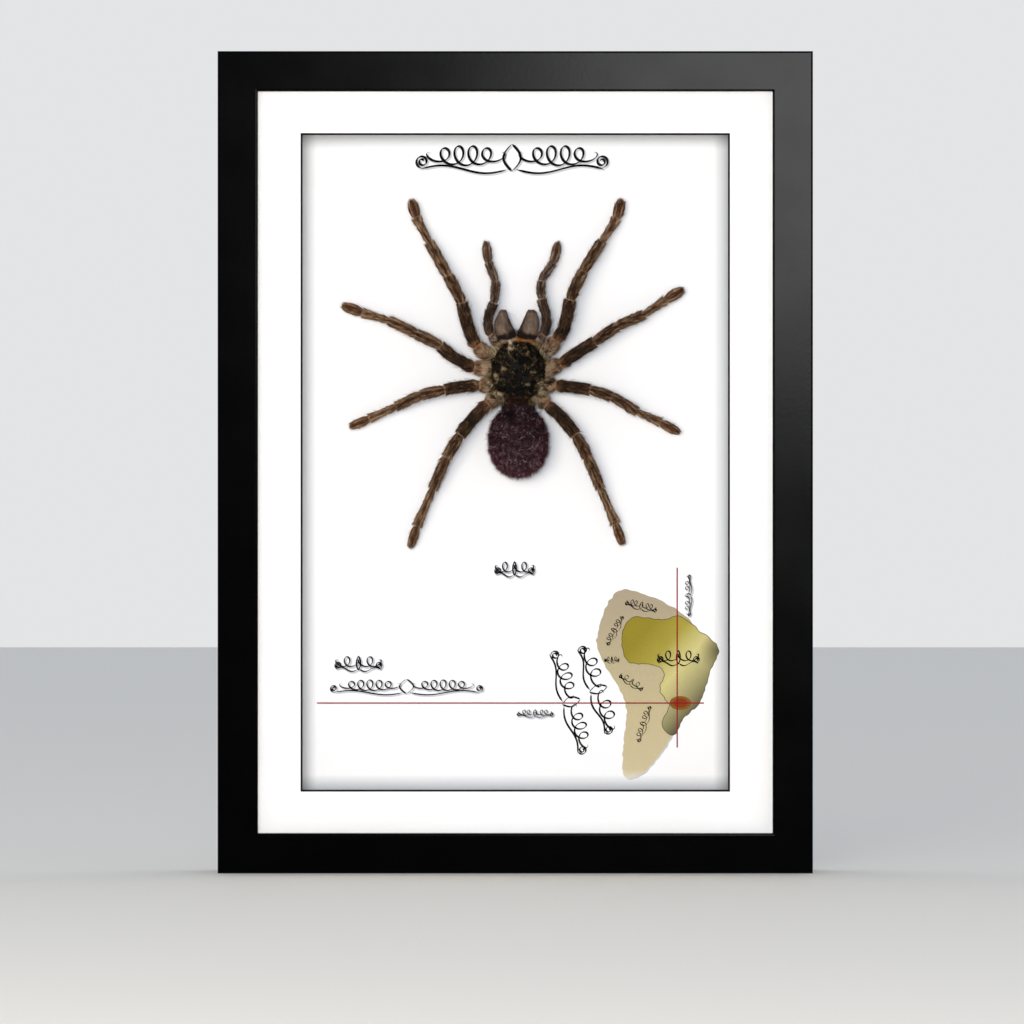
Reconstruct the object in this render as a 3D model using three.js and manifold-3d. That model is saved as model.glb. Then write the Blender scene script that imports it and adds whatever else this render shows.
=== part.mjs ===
// A tarantula specimen in a glazed box frame, in millimetres, +Z up, seen from -Y.
// The origin is the middle of the frame's foot: the box frame stands on its bottom rail.
// From front to back the box holds a glass pane, a black-cored mat with a window, four spacer
// strips, the card that carries the specimen, and a back board held by steel points.

import * as THREE from "three";
import { mergeVertices } from "three/addons/utils/BufferGeometryUtils.js";
import Module from "manifold-3d";

const wasm = await Module();
wasm.setup();

// ---- Driving dimensions ----

const frameWidth = 236;
const frameHeight = 326;
const frameDepth = 35;
const railFace = 16; // width of a rail seen from the front
const lipOverlap = 4; // how far the lip covers the glass
const lipThickness = 4;
const edgeRound = 0.8; // rounding of the rail's front edges

const fitClearance = 0.5; // between the rabbet's wall and what lies in it
const glassThickness = 2;
const matThickness = 1;
const windowWidth = 169;
const windowHeight = 260;
const windowBevel = 0.75; // width of the bevelled, black core seen from the front
const spacerDepth = 20;
const spacerWidth = 5;
const cardThickness = 1.5;
const boardThickness = 3;

const pointLength = 11;
const pointWidth = 6;
const pointThickness = 0.75;
const sidePointHeights = [-100, 0, 100]; // from the frame's middle
const endPointOffsets = [-55, 55];

const hangerWidth = 44;
const hangerHeight = 9;
const hangerThickness = 0.8;
const hangerStandoff = 0.75;
const hangerPad = 9; // length of each end that lies on the board
const hangerToothCount = 9;
const hangerDrop = 16; // from the board's top edge to the hanger's middle
const rivetRadius = 1.9;
const rivetHeight = 0.75;

const specimenAcross = 1.2; // the carapace's middle, from the frame's middle line
const specimenUp = 199.8; // and above the foot
const jointGap = 0.35; // between neighbouring parts of the body
const limbSides = 8;
const bodySides = 20;
const bodyRings = 14;

// ---- Places that follow from them ----

const frameMiddle = frameHeight / 2;
const frontY = -frameDepth / 2;
const rabbetWall = railFace - lipOverlap;
const contentWidth = frameWidth - 2 * (rabbetWall + fitClearance);
const contentHeight = frameHeight - 2 * (rabbetWall + fitClearance);
const glassY = frontY + lipThickness;
const matY = glassY + glassThickness;
const spacerY = matY + matThickness;
const cardY = spacerY + spacerDepth;
const boardY = cardY + cardThickness;
const boardBackY = boardY + boardThickness;

// ---- Materials ----

const finish = (color, roughness, metalness = 0) =>
  new THREE.MeshStandardMaterial({ color, roughness, metalness });

const lacquer = finish("#0c0c0c", 0.4);
const glassFinish = new THREE.MeshStandardMaterial({
  color: "#f4faf8",
  roughness: 0.03,
  transparent: true,
  opacity: 0.2,
});
const matPaper = finish("#fbfbfb", 0.85);
const foam = finish("#f2f2ef", 0.8);
const cardPaper = finish("#fdfdfd", 0.8);
const hardboard = finish("#6f5238", 0.85);
const steel = finish("#9a9ca0", 0.4, 1);
const brassPlate = finish("#b08d4a", 0.35, 1);
const carapaceHair = finish("#1d180f", 0.75);
const legHair = finish("#3a2b20", 0.85);
const palpHair = finish("#40342b", 0.85);
const cheliceraHair = finish("#655850", 0.85);
const abdomenHair = finish("#2b1c23", 0.95);

function named(name, geometry, material) {
  const mesh = new THREE.Mesh(geometry, material);
  mesh.name = name;
  return mesh;
}

// ---- Solids ----

// A closed geometry as a manifold-3d solid, once its shared vertices are merged.
function solidOf(geometry) {
  const bare = new THREE.BufferGeometry();
  bare.setAttribute("position", geometry.getAttribute("position"));
  bare.setIndex(geometry.index);
  const merged = mergeVertices(bare, 1e-4);
  return new wasm.Manifold(
    new wasm.Mesh({
      numProp: 3,
      vertProperties: merged.attributes.position.array,
      triVerts: new Uint32Array(merged.index.array),
    }),
  );
}

function geometryOf(solid) {
  const mesh = solid.getMesh();
  const geometry = new THREE.BufferGeometry();
  geometry.setAttribute("position", new THREE.BufferAttribute(mesh.vertProperties, 3));
  geometry.setIndex(new THREE.BufferAttribute(mesh.triVerts, 1));
  geometry.computeVertexNormals();
  return geometry;
}

// A flat piece drawn in X and Z, with its front face at y and its thickness towards the back.
function slab(outline, y, thickness) {
  const geometry = new THREE.ExtrudeGeometry(outline, {
    depth: thickness,
    bevelEnabled: false,
    curveSegments: 8,
  });
  return geometry.rotateX(Math.PI / 2).translate(0, y + thickness, 0);
}

function rectangle(width, height, x = 0, z = 0, make = THREE.Shape) {
  return new make([
    new THREE.Vector2(x - width / 2, z - height / 2),
    new THREE.Vector2(x + width / 2, z - height / 2),
    new THREE.Vector2(x + width / 2, z + height / 2),
    new THREE.Vector2(x - width / 2, z + height / 2),
  ]);
}

// ---- The four mitred rails ----

// A rail's section: depth from the front face, and inset from the frame's outer edge.
function railSection() {
  const section = new THREE.Shape();
  section.moveTo(edgeRound, 0);
  section.absarc(edgeRound, edgeRound, edgeRound, -Math.PI / 2, -Math.PI, true);
  section.lineTo(0, railFace - edgeRound);
  section.absarc(edgeRound, railFace - edgeRound, edgeRound, Math.PI, Math.PI / 2, true);
  section.lineTo(lipThickness, railFace);
  section.lineTo(lipThickness, rabbetWall);
  section.lineTo(frameDepth, rabbetWall);
  section.lineTo(frameDepth, 0);
  section.closePath();
  return section;
}

// The section carried along X, each end cut at 45 degrees through the inset.
function railGeometry(length) {
  const geometry = new THREE.ExtrudeGeometry(railSection(), {
    depth: length,
    bevelEnabled: false,
    curveSegments: 4,
  });
  const at = geometry.attributes.position;
  for (let i = 0; i < at.count; i++) {
    const reach = length / 2 - at.getY(i);
    at.setZ(i, at.getZ(i) < length / 2 ? -reach : reach);
  }
  const depthAxis = new THREE.Vector3(0, 1, 0);
  const insetAxis = new THREE.Vector3(0, 0, 1);
  const alongAxis = new THREE.Vector3(1, 0, 0);
  const turned = new THREE.Matrix4().makeBasis(depthAxis, insetAxis, alongAxis);
  return geometry.applyMatrix4(turned);
}

function frameRails() {
  const rails = new THREE.Group();
  rails.position.z = frameMiddle;
  const sides = [
    { name: "rail_bottom", turn: 0, length: frameWidth, reach: frameHeight / 2 },
    { name: "rail_left", turn: Math.PI / 2, length: frameHeight, reach: frameWidth / 2 },
    { name: "rail_top", turn: Math.PI, length: frameWidth, reach: frameHeight / 2 },
    { name: "rail_right", turn: -Math.PI / 2, length: frameHeight, reach: frameWidth / 2 },
  ];
  for (const side of sides) {
    const holder = new THREE.Group();
    holder.rotation.y = side.turn;
    const rail = named(side.name, railGeometry(side.length), lacquer);
    rail.position.set(0, frontY, -side.reach);
    holder.add(rail);
    rails.add(holder);
  }
  return rails;
}

// ---- What lies in the rabbet ----

// The mat's window is bevelled: its front edge is wider than its back edge by the black core.
function matGeometry() {
  const sheet = rectangle(contentWidth, contentHeight);
  sheet.holes.push(rectangle(windowWidth, windowHeight, 0, 0, THREE.Path));
  const geometry = slab(sheet, matY, matThickness);
  const at = geometry.attributes.position;
  for (let i = 0; i < at.count; i++) {
    const onWindow = Math.abs(at.getX(i)) <= windowWidth / 2;
    const onFront = at.getY(i) < matY + matThickness / 2;
    if (!onWindow || !onFront) continue;
    at.setX(i, at.getX(i) + Math.sign(at.getX(i)) * windowBevel);
    at.setZ(i, at.getZ(i) + Math.sign(at.getZ(i)) * windowBevel);
  }
  return geometry;
}

function boxContents() {
  const contents = new THREE.Group();
  contents.position.z = frameMiddle;
  const sheet = rectangle(contentWidth, contentHeight);
  contents.add(named("glass_pane", slab(sheet, glassY, glassThickness), glassFinish));
  contents.add(named("mat", matGeometry(), matPaper));
  contents.add(named("specimen_card", slab(sheet, cardY, cardThickness), cardPaper));
  contents.add(named("back_board", slab(sheet, boardY, boardThickness), hardboard));
  const besideX = (contentWidth - spacerWidth) / 2;
  const aboveZ = (contentHeight - spacerWidth) / 2;
  const betweenWidth = contentWidth - 2 * spacerWidth;
  const strips = {
    spacer_left: rectangle(spacerWidth, contentHeight, -besideX, 0),
    spacer_right: rectangle(spacerWidth, contentHeight, besideX, 0),
    spacer_top: rectangle(betweenWidth, spacerWidth, 0, aboveZ),
    spacer_bottom: rectangle(betweenWidth, spacerWidth, 0, -aboveZ),
  };
  for (const [name, outline] of Object.entries(strips)) {
    contents.add(named(name, slab(outline, spacerY, spacerDepth), foam));
  }
  return contents;
}

// ---- Steel points and the hanger on the back ----

// A point's blade, from the rabbet's wall at x 0 over the board, with a round end.
function pointOutline() {
  const blade = new THREE.Shape();
  const half = pointWidth / 2;
  blade.moveTo(0, -half);
  blade.lineTo(pointLength - half, -half);
  blade.absarc(pointLength - half, 0, half, -Math.PI / 2, Math.PI / 2, false);
  blade.lineTo(0, half);
  blade.closePath();
  return blade;
}

function retainingPoints() {
  const points = new THREE.Group();
  points.position.z = frameMiddle;
  const wallX = frameWidth / 2 - rabbetWall;
  const wallZ = frameHeight / 2 - rabbetWall;
  const places = [];
  sidePointHeights.forEach((z, i) => {
    places.push({ name: `point_left_${i + 1}`, x: -wallX, z, turn: 0 });
    places.push({ name: `point_right_${i + 1}`, x: wallX, z, turn: Math.PI });
  });
  endPointOffsets.forEach((x, i) => {
    places.push({ name: `point_bottom_${i + 1}`, x, z: -wallZ, turn: -Math.PI / 2 });
    places.push({ name: `point_top_${i + 1}`, x, z: wallZ, turn: Math.PI / 2 });
  });
  for (const place of places) {
    const blade = named(place.name, slab(pointOutline(), 0, pointThickness), steel);
    blade.position.set(place.x, boardBackY, place.z);
    blade.rotation.y = place.turn;
    points.add(blade);
  }
  return points;
}

// A plate with teeth along its lower edge, on two pads that lie on the board.
function hangerGeometry() {
  const half = hangerWidth / 2;
  const toothed = hangerWidth - 2 * hangerPad;
  const pitch = toothed / hangerToothCount;
  const toothDepth = pitch * 0.6;
  const low = -hangerHeight / 2;
  const plate = new THREE.Shape();
  plate.moveTo(-half, low);
  plate.lineTo(-half + hangerPad, low);
  for (let i = 0; i < hangerToothCount; i++) {
    const start = -half + hangerPad + i * pitch;
    plate.lineTo(start + pitch / 2, low + toothDepth);
    plate.lineTo(start + pitch, low);
  }
  plate.lineTo(half, low);
  plate.lineTo(half, -low);
  plate.lineTo(-half, -low);
  plate.closePath();
  let solid = solidOf(slab(plate, hangerStandoff, hangerThickness));
  for (const side of [-1, 1]) {
    const padX = side * (half - hangerPad / 2);
    const pad = rectangle(hangerPad, hangerHeight, padX, 0);
    const padDepth = hangerStandoff + hangerThickness / 2;
    solid = solid.add(solidOf(slab(pad, 0, padDepth)));
  }
  return geometryOf(solid);
}

function rivetGeometry() {
  const dome = new THREE.Path();
  dome.moveTo(0, 0);
  dome.lineTo(rivetRadius, 0);
  dome.quadraticCurveTo(rivetRadius, rivetHeight, 0, rivetHeight);
  return new THREE.LatheGeometry(dome.getPoints(4), 16);
}

function hanger() {
  const group = new THREE.Group();
  const aboveMiddle = contentHeight / 2 - hangerDrop;
  group.position.set(0, boardBackY, frameMiddle + aboveMiddle);
  group.add(named("sawtooth_hanger", hangerGeometry(), brassPlate));
  const plateBack = hangerStandoff + hangerThickness;
  for (const [name, side] of Object.entries({ left: -1, right: 1 })) {
    const rivet = named(`hanger_rivet_${name}`, rivetGeometry(), brassPlate);
    rivet.position.set(side * (hangerWidth - hangerPad) / 2, plateBack, 0);
    group.add(rivet);
  }
  return group;
}

// ---- The tarantula ----
// Its frame: X across, Z towards the head, and height above the card towards the viewer.

const onCard = (across, up, height) => new THREE.Vector3(across, -height, up);

// Each limb: where its hip is, its girth, and for each stretch its length and its heading in
// degrees from +X towards the head. The femur bows, so it is three stretches.
const legs = [
  {
    name: "leg_1_left",
    hip: [-11.7, 5.4],
    girth: 2.5,
    tarsusWidth: 1,
    lengths: [7.2, 4.2, 7.2, 6.0, 11.9, 15.5, 11.3, 7.3],
    headings: [136, 118, 108, 104, 117, 119, 117, 107],
  },
  {
    name: "leg_2_left",
    hip: [-10.9, 0.6],
    girth: 2.4,
    tarsusWidth: 1,
    lengths: [7.5, 5.0, 5.2, 5.0, 10.6, 12.3, 10.9, 8.9],
    headings: [174, 154, 149, 138, 153, 154, 163, 160],
  },
  {
    name: "leg_3_left",
    hip: [-10.9, -6.2],
    girth: 2.3,
    tarsusWidth: 0.92,
    lengths: [5.2, 4.4, 4.4, 4.5, 9.4, 11.2, 11.6, 8.5],
    headings: [178, 184, 187, 191, 193, 204, 204, 204],
  },
  {
    name: "leg_4_left",
    hip: [-8.9, -11.0],
    girth: 2.5,
    tarsusWidth: 0.82,
    lengths: [4.6, 5.6, 5.2, 5.2, 10.3, 13.8, 16.1, 9.2],
    headings: [217, 224, 229, 233, 239, 246, 247, 252],
  },
  {
    name: "leg_1_right",
    hip: [10.7, 7.0],
    girth: 2.5,
    tarsusWidth: 1,
    lengths: [7.4, 4.3, 6.1, 6.1, 12.3, 14.2, 10.9, 7.8],
    headings: [49, 57, 75, 78, 66, 58, 58, 74],
  },
  {
    name: "leg_2_right",
    hip: [10.7, 0.2],
    girth: 2.4,
    tarsusWidth: 1,
    lengths: [7.4, 4.4, 4.7, 6.0, 11.0, 11.7, 10.5, 8.4],
    headings: [22, 34, 34, 32, 34, 25, 33, 32],
  },
  {
    name: "leg_3_right",
    hip: [11.1, -5.6],
    girth: 2.3,
    tarsusWidth: 0.92,
    lengths: [4.4, 4.1, 4.4, 4.6, 8.9, 11.8, 10.4, 8.6],
    headings: [-6, -6, -7, -10, -17, -30, -25, -28],
  },
  {
    name: "leg_4_right",
    hip: [8.7, -11.4],
    girth: 2.5,
    tarsusWidth: 0.82,
    lengths: [4.1, 5.2, 5.2, 5.6, 9.8, 13.8, 15.3, 8.9],
    headings: [-40, -40, -48, -52, -62, -67, -67, -70],
  },
];
const pedipalps = [
  {
    name: "pedipalp_left",
    hip: [-7.7, 11.8],
    girth: 1.9,
    tarsusWidth: 1.1,
    lengths: [4.5, 3.5, 4.0, 4.9, 8.6, 8.0, 8.7],
    headings: [139, 105, 85, 69, 85, 109, 98],
  },
  {
    name: "pedipalp_right",
    hip: [6.7, 11.8],
    girth: 1.9,
    tarsusWidth: 1.1,
    lengths: [4.5, 3.6, 4.4, 6.0, 7.0, 8.5, 8.8],
    headings: [41, 72, 94, 105, 91, 59, 74],
  },
];

// Half-widths along each stretch, as [share of the stretch, share of the girth].
const coxaGirth = [[0, 0.98], [0.5, 1.06], [0.95, 0.92]];
const femurGirth = [[0.5, 1.0]];
const femurEndGirth = [[0.5, 1.04], [0.92, 0.98]];
const patellaGirth = [[0.08, 0.86], [0.55, 0.95], [0.92, 0.84]];
const tibiaGirth = [[0.1, 0.84], [0.5, 0.85], [0.93, 0.8]];
const metatarsusGirth = [[0.06, 0.56], [0.5, 0.62], [0.9, 0.86]];
const tarsusGirth = [[0.02, 0.68], [0.25, 0.92], [0.55, 0.97], [0.85, 0.72], [1, 0.22]];
const upToTibia = [coxaGirth, femurGirth, femurGirth, femurEndGirth, patellaGirth, tibiaGirth];

// What a limb's stretches are, and the heights of its joints above the card, hip to claw.
// A pedipalp is built as a leg is, without the metatarsus.
const legBuild = {
  girths: [...upToTibia, metatarsusGirth, tarsusGirth],
  heights: [6.2, 6.6, 7.6, 8.8, 9.4, 8.6, 5.6, 3.6, 2.4],
};
const pedipalpBuild = {
  girths: [...upToTibia, tarsusGirth],
  heights: [5.6, 6.0, 6.6, 7.2, 7.4, 6.0, 3.8, 2.4],
};
const limbs = [
  ...legs.map((leg) => ({ ...leg, ...legBuild })),
  ...pedipalps.map((pedipalp) => ({ ...pedipalp, ...pedipalpBuild })),
];

// The joints' places, walked out from the hip.
function jointsOf(limb) {
  let [across, up] = limb.hip;
  const joints = [onCard(across, up, limb.heights[0])];
  limb.lengths.forEach((length, i) => {
    const heading = THREE.MathUtils.degToRad(limb.headings[i]);
    across += length * Math.cos(heading);
    up += length * Math.sin(heading);
    joints.push(onCard(across, up, limb.heights[i + 1]));
  });
  return joints;
}

// Where the limb's rings sit along its curve, with the half-width of each.
function ringsOf(limb) {
  const stretchCount = limb.girths.length;
  return limb.girths.flatMap((stretch, i) =>
    stretch.map(([share, width]) => ({
      place: (i + share) / stretchCount,
      radius: limb.girth * width * (stretch === tarsusGirth ? limb.tarsusWidth : 1),
    })),
  );
}

// A closed cylinder carried along the limb's curve, its rings set to the limb's half-widths.
function limbGeometry(limb, swell) {
  const curve = new THREE.CatmullRomCurve3(jointsOf(limb), false, "centripetal");
  const rings = ringsOf(limb);
  const geometry = new THREE.CylinderGeometry(1, 1, 1, limbSides, rings.length - 1);
  const at = geometry.attributes.position;
  const towardsViewer = new THREE.Vector3(0, -1, 0);
  for (let i = 0; i < at.count; i++) {
    const ring = rings[Math.round((at.getY(i) + 0.5) * (rings.length - 1))];
    const along = curve.getTangent(ring.place);
    const side = new THREE.Vector3().crossVectors(along, towardsViewer).normalize();
    const rise = new THREE.Vector3().crossVectors(side, along);
    const reach = ring.radius + swell;
    const point = curve.getPoint(ring.place);
    point.addScaledVector(side, at.getX(i) * reach);
    point.addScaledVector(rise, at.getZ(i) * reach);
    at.setXYZ(i, point.x, point.y, point.z);
  }
  return geometry;
}

// A rounded body: a sphere whose outline is a superellipse, with its front end narrowed.
function roundedBody({ middle, halves, squareness, narrowing, heading = 90 }, swell) {
  const geometry = new THREE.SphereGeometry(1, bodySides, bodyRings);
  const at = geometry.attributes.position;
  const soften = (value) => Math.sign(value) * Math.abs(value) ** (2 / squareness);
  const turn = THREE.MathUtils.degToRad(heading - 90);
  for (let i = 0; i < at.count; i++) {
    const forward = at.getY(i);
    const ringRadius = Math.hypot(at.getX(i), at.getZ(i));
    const fullness = ringRadius > 0 ? soften(ringRadius) / ringRadius : 0;
    const taper = 1 - narrowing * Math.max(0, forward) ** 2;
    const across = at.getX(i) * fullness * taper * (halves[0] + swell);
    const up = soften(forward) * (halves[1] + swell);
    const height = at.getZ(i) * fullness * (halves[2] + swell);
    const turnedAcross = across * Math.cos(turn) - up * Math.sin(turn);
    const turnedUp = across * Math.sin(turn) + up * Math.cos(turn);
    const point = onCard(middle[0] + turnedAcross, middle[1] + turnedUp, middle[2] + height);
    at.setXYZ(i, point.x, point.y, point.z);
  }
  return geometry;
}

const prosoma = {
  middle: [0, 0, 7],
  halves: [11.3, 12.7, 5.6],
  squareness: 2.3,
  narrowing: 0.25,
};
const abdomen = {
  middle: [0, -28.2, 9],
  halves: [12.4, 14.8, 8.3],
  squareness: 2.15,
  narrowing: 0.05,
};
const cheliceraLeft = {
  middle: [-5.5, 18.4, 5.4],
  halves: [3.7, 6.0, 4.4],
  squareness: 2.4,
  narrowing: 0.1,
  heading: 96,
};
const cheliceraRight = {
  middle: [4.2, 18.4, 5.4],
  halves: [4.1, 6.1, 4.4],
  squareness: 2.4,
  narrowing: 0.1,
  heading: 83,
};

// Each piece's solid, cut back from the pieces that it meets so that a joint's gap is left.
function specimenSolids() {
  const limbShapes = limbs.map((limb) => [limb.name, (swell) => limbGeometry(limb, swell)]);
  const shapes = {
    cephalothorax: (swell) => roundedBody(prosoma, swell),
    abdomen: (swell) => roundedBody(abdomen, swell),
    chelicera_left: (swell) => roundedBody(cheliceraLeft, swell),
    chelicera_right: (swell) => roundedBody(cheliceraRight, swell),
    ...Object.fromEntries(limbShapes),
  };
  const meets = {
    cephalothorax: [],
    abdomen: ["cephalothorax"],
    chelicera_left: ["cephalothorax"],
    chelicera_right: ["cephalothorax", "chelicera_left"],
    pedipalp_left: ["cephalothorax", "chelicera_left"],
    pedipalp_right: ["cephalothorax", "chelicera_right"],
  };
  for (const side of ["left", "right"]) {
    meets[`leg_1_${side}`] = ["cephalothorax", `pedipalp_${side}`];
    meets[`leg_2_${side}`] = ["cephalothorax", `leg_1_${side}`];
    meets[`leg_3_${side}`] = ["cephalothorax", `leg_2_${side}`];
    meets[`leg_4_${side}`] = ["cephalothorax", `leg_3_${side}`, "abdomen"];
  }
  return Object.entries(meets).map(([name, neighbours]) => {
    const whole = solidOf(shapes[name](0));
    const cut = (solid, other) => solid.subtract(solidOf(shapes[other](jointGap)));
    return [name, neighbours.reduce(cut, whole)];
  });
}

function materialFor(name) {
  if (name === "cephalothorax") return carapaceHair;
  if (name === "abdomen") return abdomenHair;
  if (name.startsWith("chelicera")) return cheliceraHair;
  return name.startsWith("pedipalp") ? palpHair : legHair;
}

function specimen() {
  const group = new THREE.Group();
  group.position.set(specimenAcross, cardY, specimenUp);
  for (const [name, solid] of specimenSolids()) {
    group.add(named(name, geometryOf(solid), materialFor(name)));
  }
  return group;
}

const framedSpecimen = new THREE.Group();
framedSpecimen.add(frameRails(), boxContents(), retainingPoints(), hanger(), specimen());

export default framedSpecimen;
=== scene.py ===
"""Looks of a framed tarantula specimen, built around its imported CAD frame.

The frame's rails, glass, mat, card, spacers, back board and fittings keep their CAD meshes and get
their finishes here. The animal's plain solids are replaced by furred meshes, and the print on the
card is added. Sizes are in millimetres until a mesh is made; the animal's are taken from the middle
of its carapace on the card's face: across to the right, up towards its head, height to the viewer.
"""

import math
from collections import namedtuple

import bpy
import numpy as np
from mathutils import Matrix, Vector
from mathutils.geometry import tessellate_polygon


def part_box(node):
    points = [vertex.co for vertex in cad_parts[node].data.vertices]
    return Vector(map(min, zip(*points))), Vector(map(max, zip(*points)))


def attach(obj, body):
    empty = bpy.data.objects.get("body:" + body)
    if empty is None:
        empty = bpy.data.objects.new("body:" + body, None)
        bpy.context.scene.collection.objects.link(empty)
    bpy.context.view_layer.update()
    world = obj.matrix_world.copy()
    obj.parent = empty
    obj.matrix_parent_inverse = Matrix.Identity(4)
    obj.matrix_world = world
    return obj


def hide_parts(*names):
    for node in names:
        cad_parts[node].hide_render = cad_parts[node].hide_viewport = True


bl_info = {
    "name": "Framed Tarantula Specimen",
    "version": (1, 0, 0),
    "blender": (4, 5, 0),
    "location": "View3D > Sidebar > Specimen",
    "description": "Builds the looks of a tarantula mounted in a glazed box frame",
    "category": "Add Mesh",
}

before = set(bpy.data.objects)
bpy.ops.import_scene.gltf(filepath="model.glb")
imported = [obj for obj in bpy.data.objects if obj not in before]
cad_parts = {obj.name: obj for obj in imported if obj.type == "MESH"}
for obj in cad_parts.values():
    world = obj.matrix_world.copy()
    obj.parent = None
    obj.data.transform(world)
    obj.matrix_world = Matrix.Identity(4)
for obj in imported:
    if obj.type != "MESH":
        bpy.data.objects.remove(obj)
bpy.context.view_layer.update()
MM = 0.001


def node_box(name):
    """A CAD node's lowest and highest corners, in millimetres."""
    low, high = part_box(name)
    return np.array(low) / MM, np.array(high) / MM


CARD_FACE = node_box("specimen_card")[0][1]
BODY_LOW, BODY_HIGH = node_box("cephalothorax")
# The middle of the carapace, on the card's face.
SPECIMEN = np.array([(BODY_LOW[0] + BODY_HIGH[0]) / 2, CARD_FACE, (BODY_LOW[2] + BODY_HIGH[2]) / 2])
FRAME_TOP = node_box("rail_top")[1][2]
FRAME_FRONT = node_box("rail_top")[0][1]


def linear(hex_colour):
    """An sRGB hex colour as linear RGBA: c / 12.92 up to 0.04045, else ((c + 0.055) / 1.055) ^ 2.4."""
    shares = np.array([int(hex_colour[i : i + 2], 16) for i in (1, 3, 5)]) / 255
    curved = ((shares + 0.055) / 1.055) ** 2.4
    return (*(float(c) for c in np.where(shares <= 0.04045, shares / 12.92, curved)), 1.0)


# ---- Settings ----


def colour(name, description, hex_colour):
    """A colour setting."""
    return bpy.props.FloatVectorProperty(
        name=name, description=description, subtype="COLOR", size=4, min=0, max=1,
        default=linear(hex_colour),
    )


def number(name, description, default, low=0.0, high=1.0, **more):
    """A number setting."""
    return bpy.props.FloatProperty(
        name=name, description=description, default=default, min=low, max=high, **more
    )


class FrameFinish(bpy.types.PropertyGroup):
    lacquer: colour("Lacquer", "Black of the rails", "#030303")
    lacquer_roughness: number("Lacquer roughness", "How satin the rails are", 0.14, 0.05)
    orange_peel: number("Orange peel", "Size of the lacquer's ripples", 0.0012, 0.0002, 0.01, unit="LENGTH")
    paper: colour("Mat", "White of the mat", "#f6f6f5")
    card: colour("Card", "White of the printed card", "#f6f6f6")
    core: colour("Core", "Black core shown by the mat's bevel", "#0c0c0c")


class PrintColours(bpy.types.PropertyGroup):
    ink: colour("Ink", "Black of the ornaments", "#050505")
    shade: colour("Shade", "Grey cast behind the ornaments", "#c6c6c9")
    pale_shade: colour("Pale shade", "Edge of the grey cast", "#e2e2e4")
    line: colour("Line", "Red of the crossing lines", "#8e1a1e")
    land_north: colour("Land, north", "Tan of the continent's north", "#aa9c84")
    land_south: colour("Land, south", "Tan of the continent's south", "#c0b28c")
    region_west: colour("Region, west", "Olive of the marked country", "#93842a")
    region_east: colour("Region, east", "Yellow of the marked country", "#cec484")
    spot: colour("Spot", "Brown of the marked place", "#875420")


class AnimalLook(bpy.types.PropertyGroup):
    skin_share: number("Skin share", "Cuticle's half-width as a share of the fur's", 0.86, 0.5, 0.95)
    hair_width: number(
        "Hair width", "Width at the root, drawn about four times a real one's so that it shows",
        0.00023, 0.00004, 0.0005, unit="LENGTH",
    )
    leg_hairs: bpy.props.IntProperty(
        name="Leg hairs", description="Short hairs on each leg", default=8500, min=500, max=20000
    )
    body_hairs: bpy.props.IntProperty(
        name="Body hairs", description="Hairs on the abdomen", default=16500, min=500, max=18000
    )


class StageLook(bpy.types.PropertyGroup):
    camera_distance: number("Camera distance", "From the frame's face", 3.0, 0.5, 10, unit="LENGTH")
    view_width: number("View width", "Width of the view at the frame's face", 0.4058, 0.1, 2, unit="LENGTH")
    floor: colour("Floor", "Colour of the floor", "#f4eee2")
    side_power: number("Side power", "Power of the broad light at the left, in watts", 37.5, 0, 500)
    front_power: number("Front power", "Power of the light beside the camera, in watts", 45.0, 0, 500)
    rail_power: number(
        "Rail light power", "Power of the light that only the rails take, in watts", 6.0, 0, 500
    )
    fill: number("Fill", "Strength of the surrounding light", 0.42, 0, 3)


# ---- Node materials ----

# Painted shade on the card at the edge of the mat's window, standing in for the shade that the mat casts
# into the recess: its half-sizes and middle, set off a little to the upper left of the mat's window.
PAINTED_WINDOW_SHADE = ((85.4, 131.2), (-0.1, 163.2))
PAINTED_SHADE_FADE = 6.2
PAINTED_SHADE_EDGE = 0.475  # share of white that the painted shade leaves at its edge
PAINTED_SHADE_COOLING = "#eff7ff"  # what full painted shade multiplies the sheet's tone by, so that the painted shade is a cool grey
MULTIPLIED = {"data_type": "RGBA", "blend_type": "MULTIPLY"}  # a Mix node's settings


def node(tree, kind, inputs=None, stops=None, **settings):
    """Adds one node. inputs holds its sockets by name or number, each a value or a socket to link;
    stops holds a ramp's places and hex colours; settings are the node's own properties."""
    made = tree.nodes.new("ShaderNode" + kind)
    for name, value in settings.items():
        setattr(made, name, value)
    for name, value in (inputs or {}).items():
        if isinstance(value, bpy.types.NodeSocket):
            tree.links.new(value, made.inputs[name])
        else:
            made.inputs[name].default_value = value
    if stops:
        elements = made.color_ramp.elements
        while len(elements) < len(stops):
            elements.new(1.0)
        for element, (place, hex_colour) in zip(elements, stops):
            element.position = place
            element.color = linear(hex_colour) if isinstance(hex_colour, str) else hex_colour
    return made


def new_material(name):
    """An empty node material and its tree."""
    material = bpy.data.materials.new(name)
    material.use_nodes = True
    material.node_tree.nodes.clear()
    return material, material.node_tree


def object_place(tree):
    """The place on the object, in metres."""
    return node(tree, "TexCoord").outputs["Object"]


def finished(material, shader):
    """The material, with the shader as its surface."""
    node(material.node_tree, "OutputMaterial", {"Surface": shader.outputs[0]})
    return material


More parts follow.
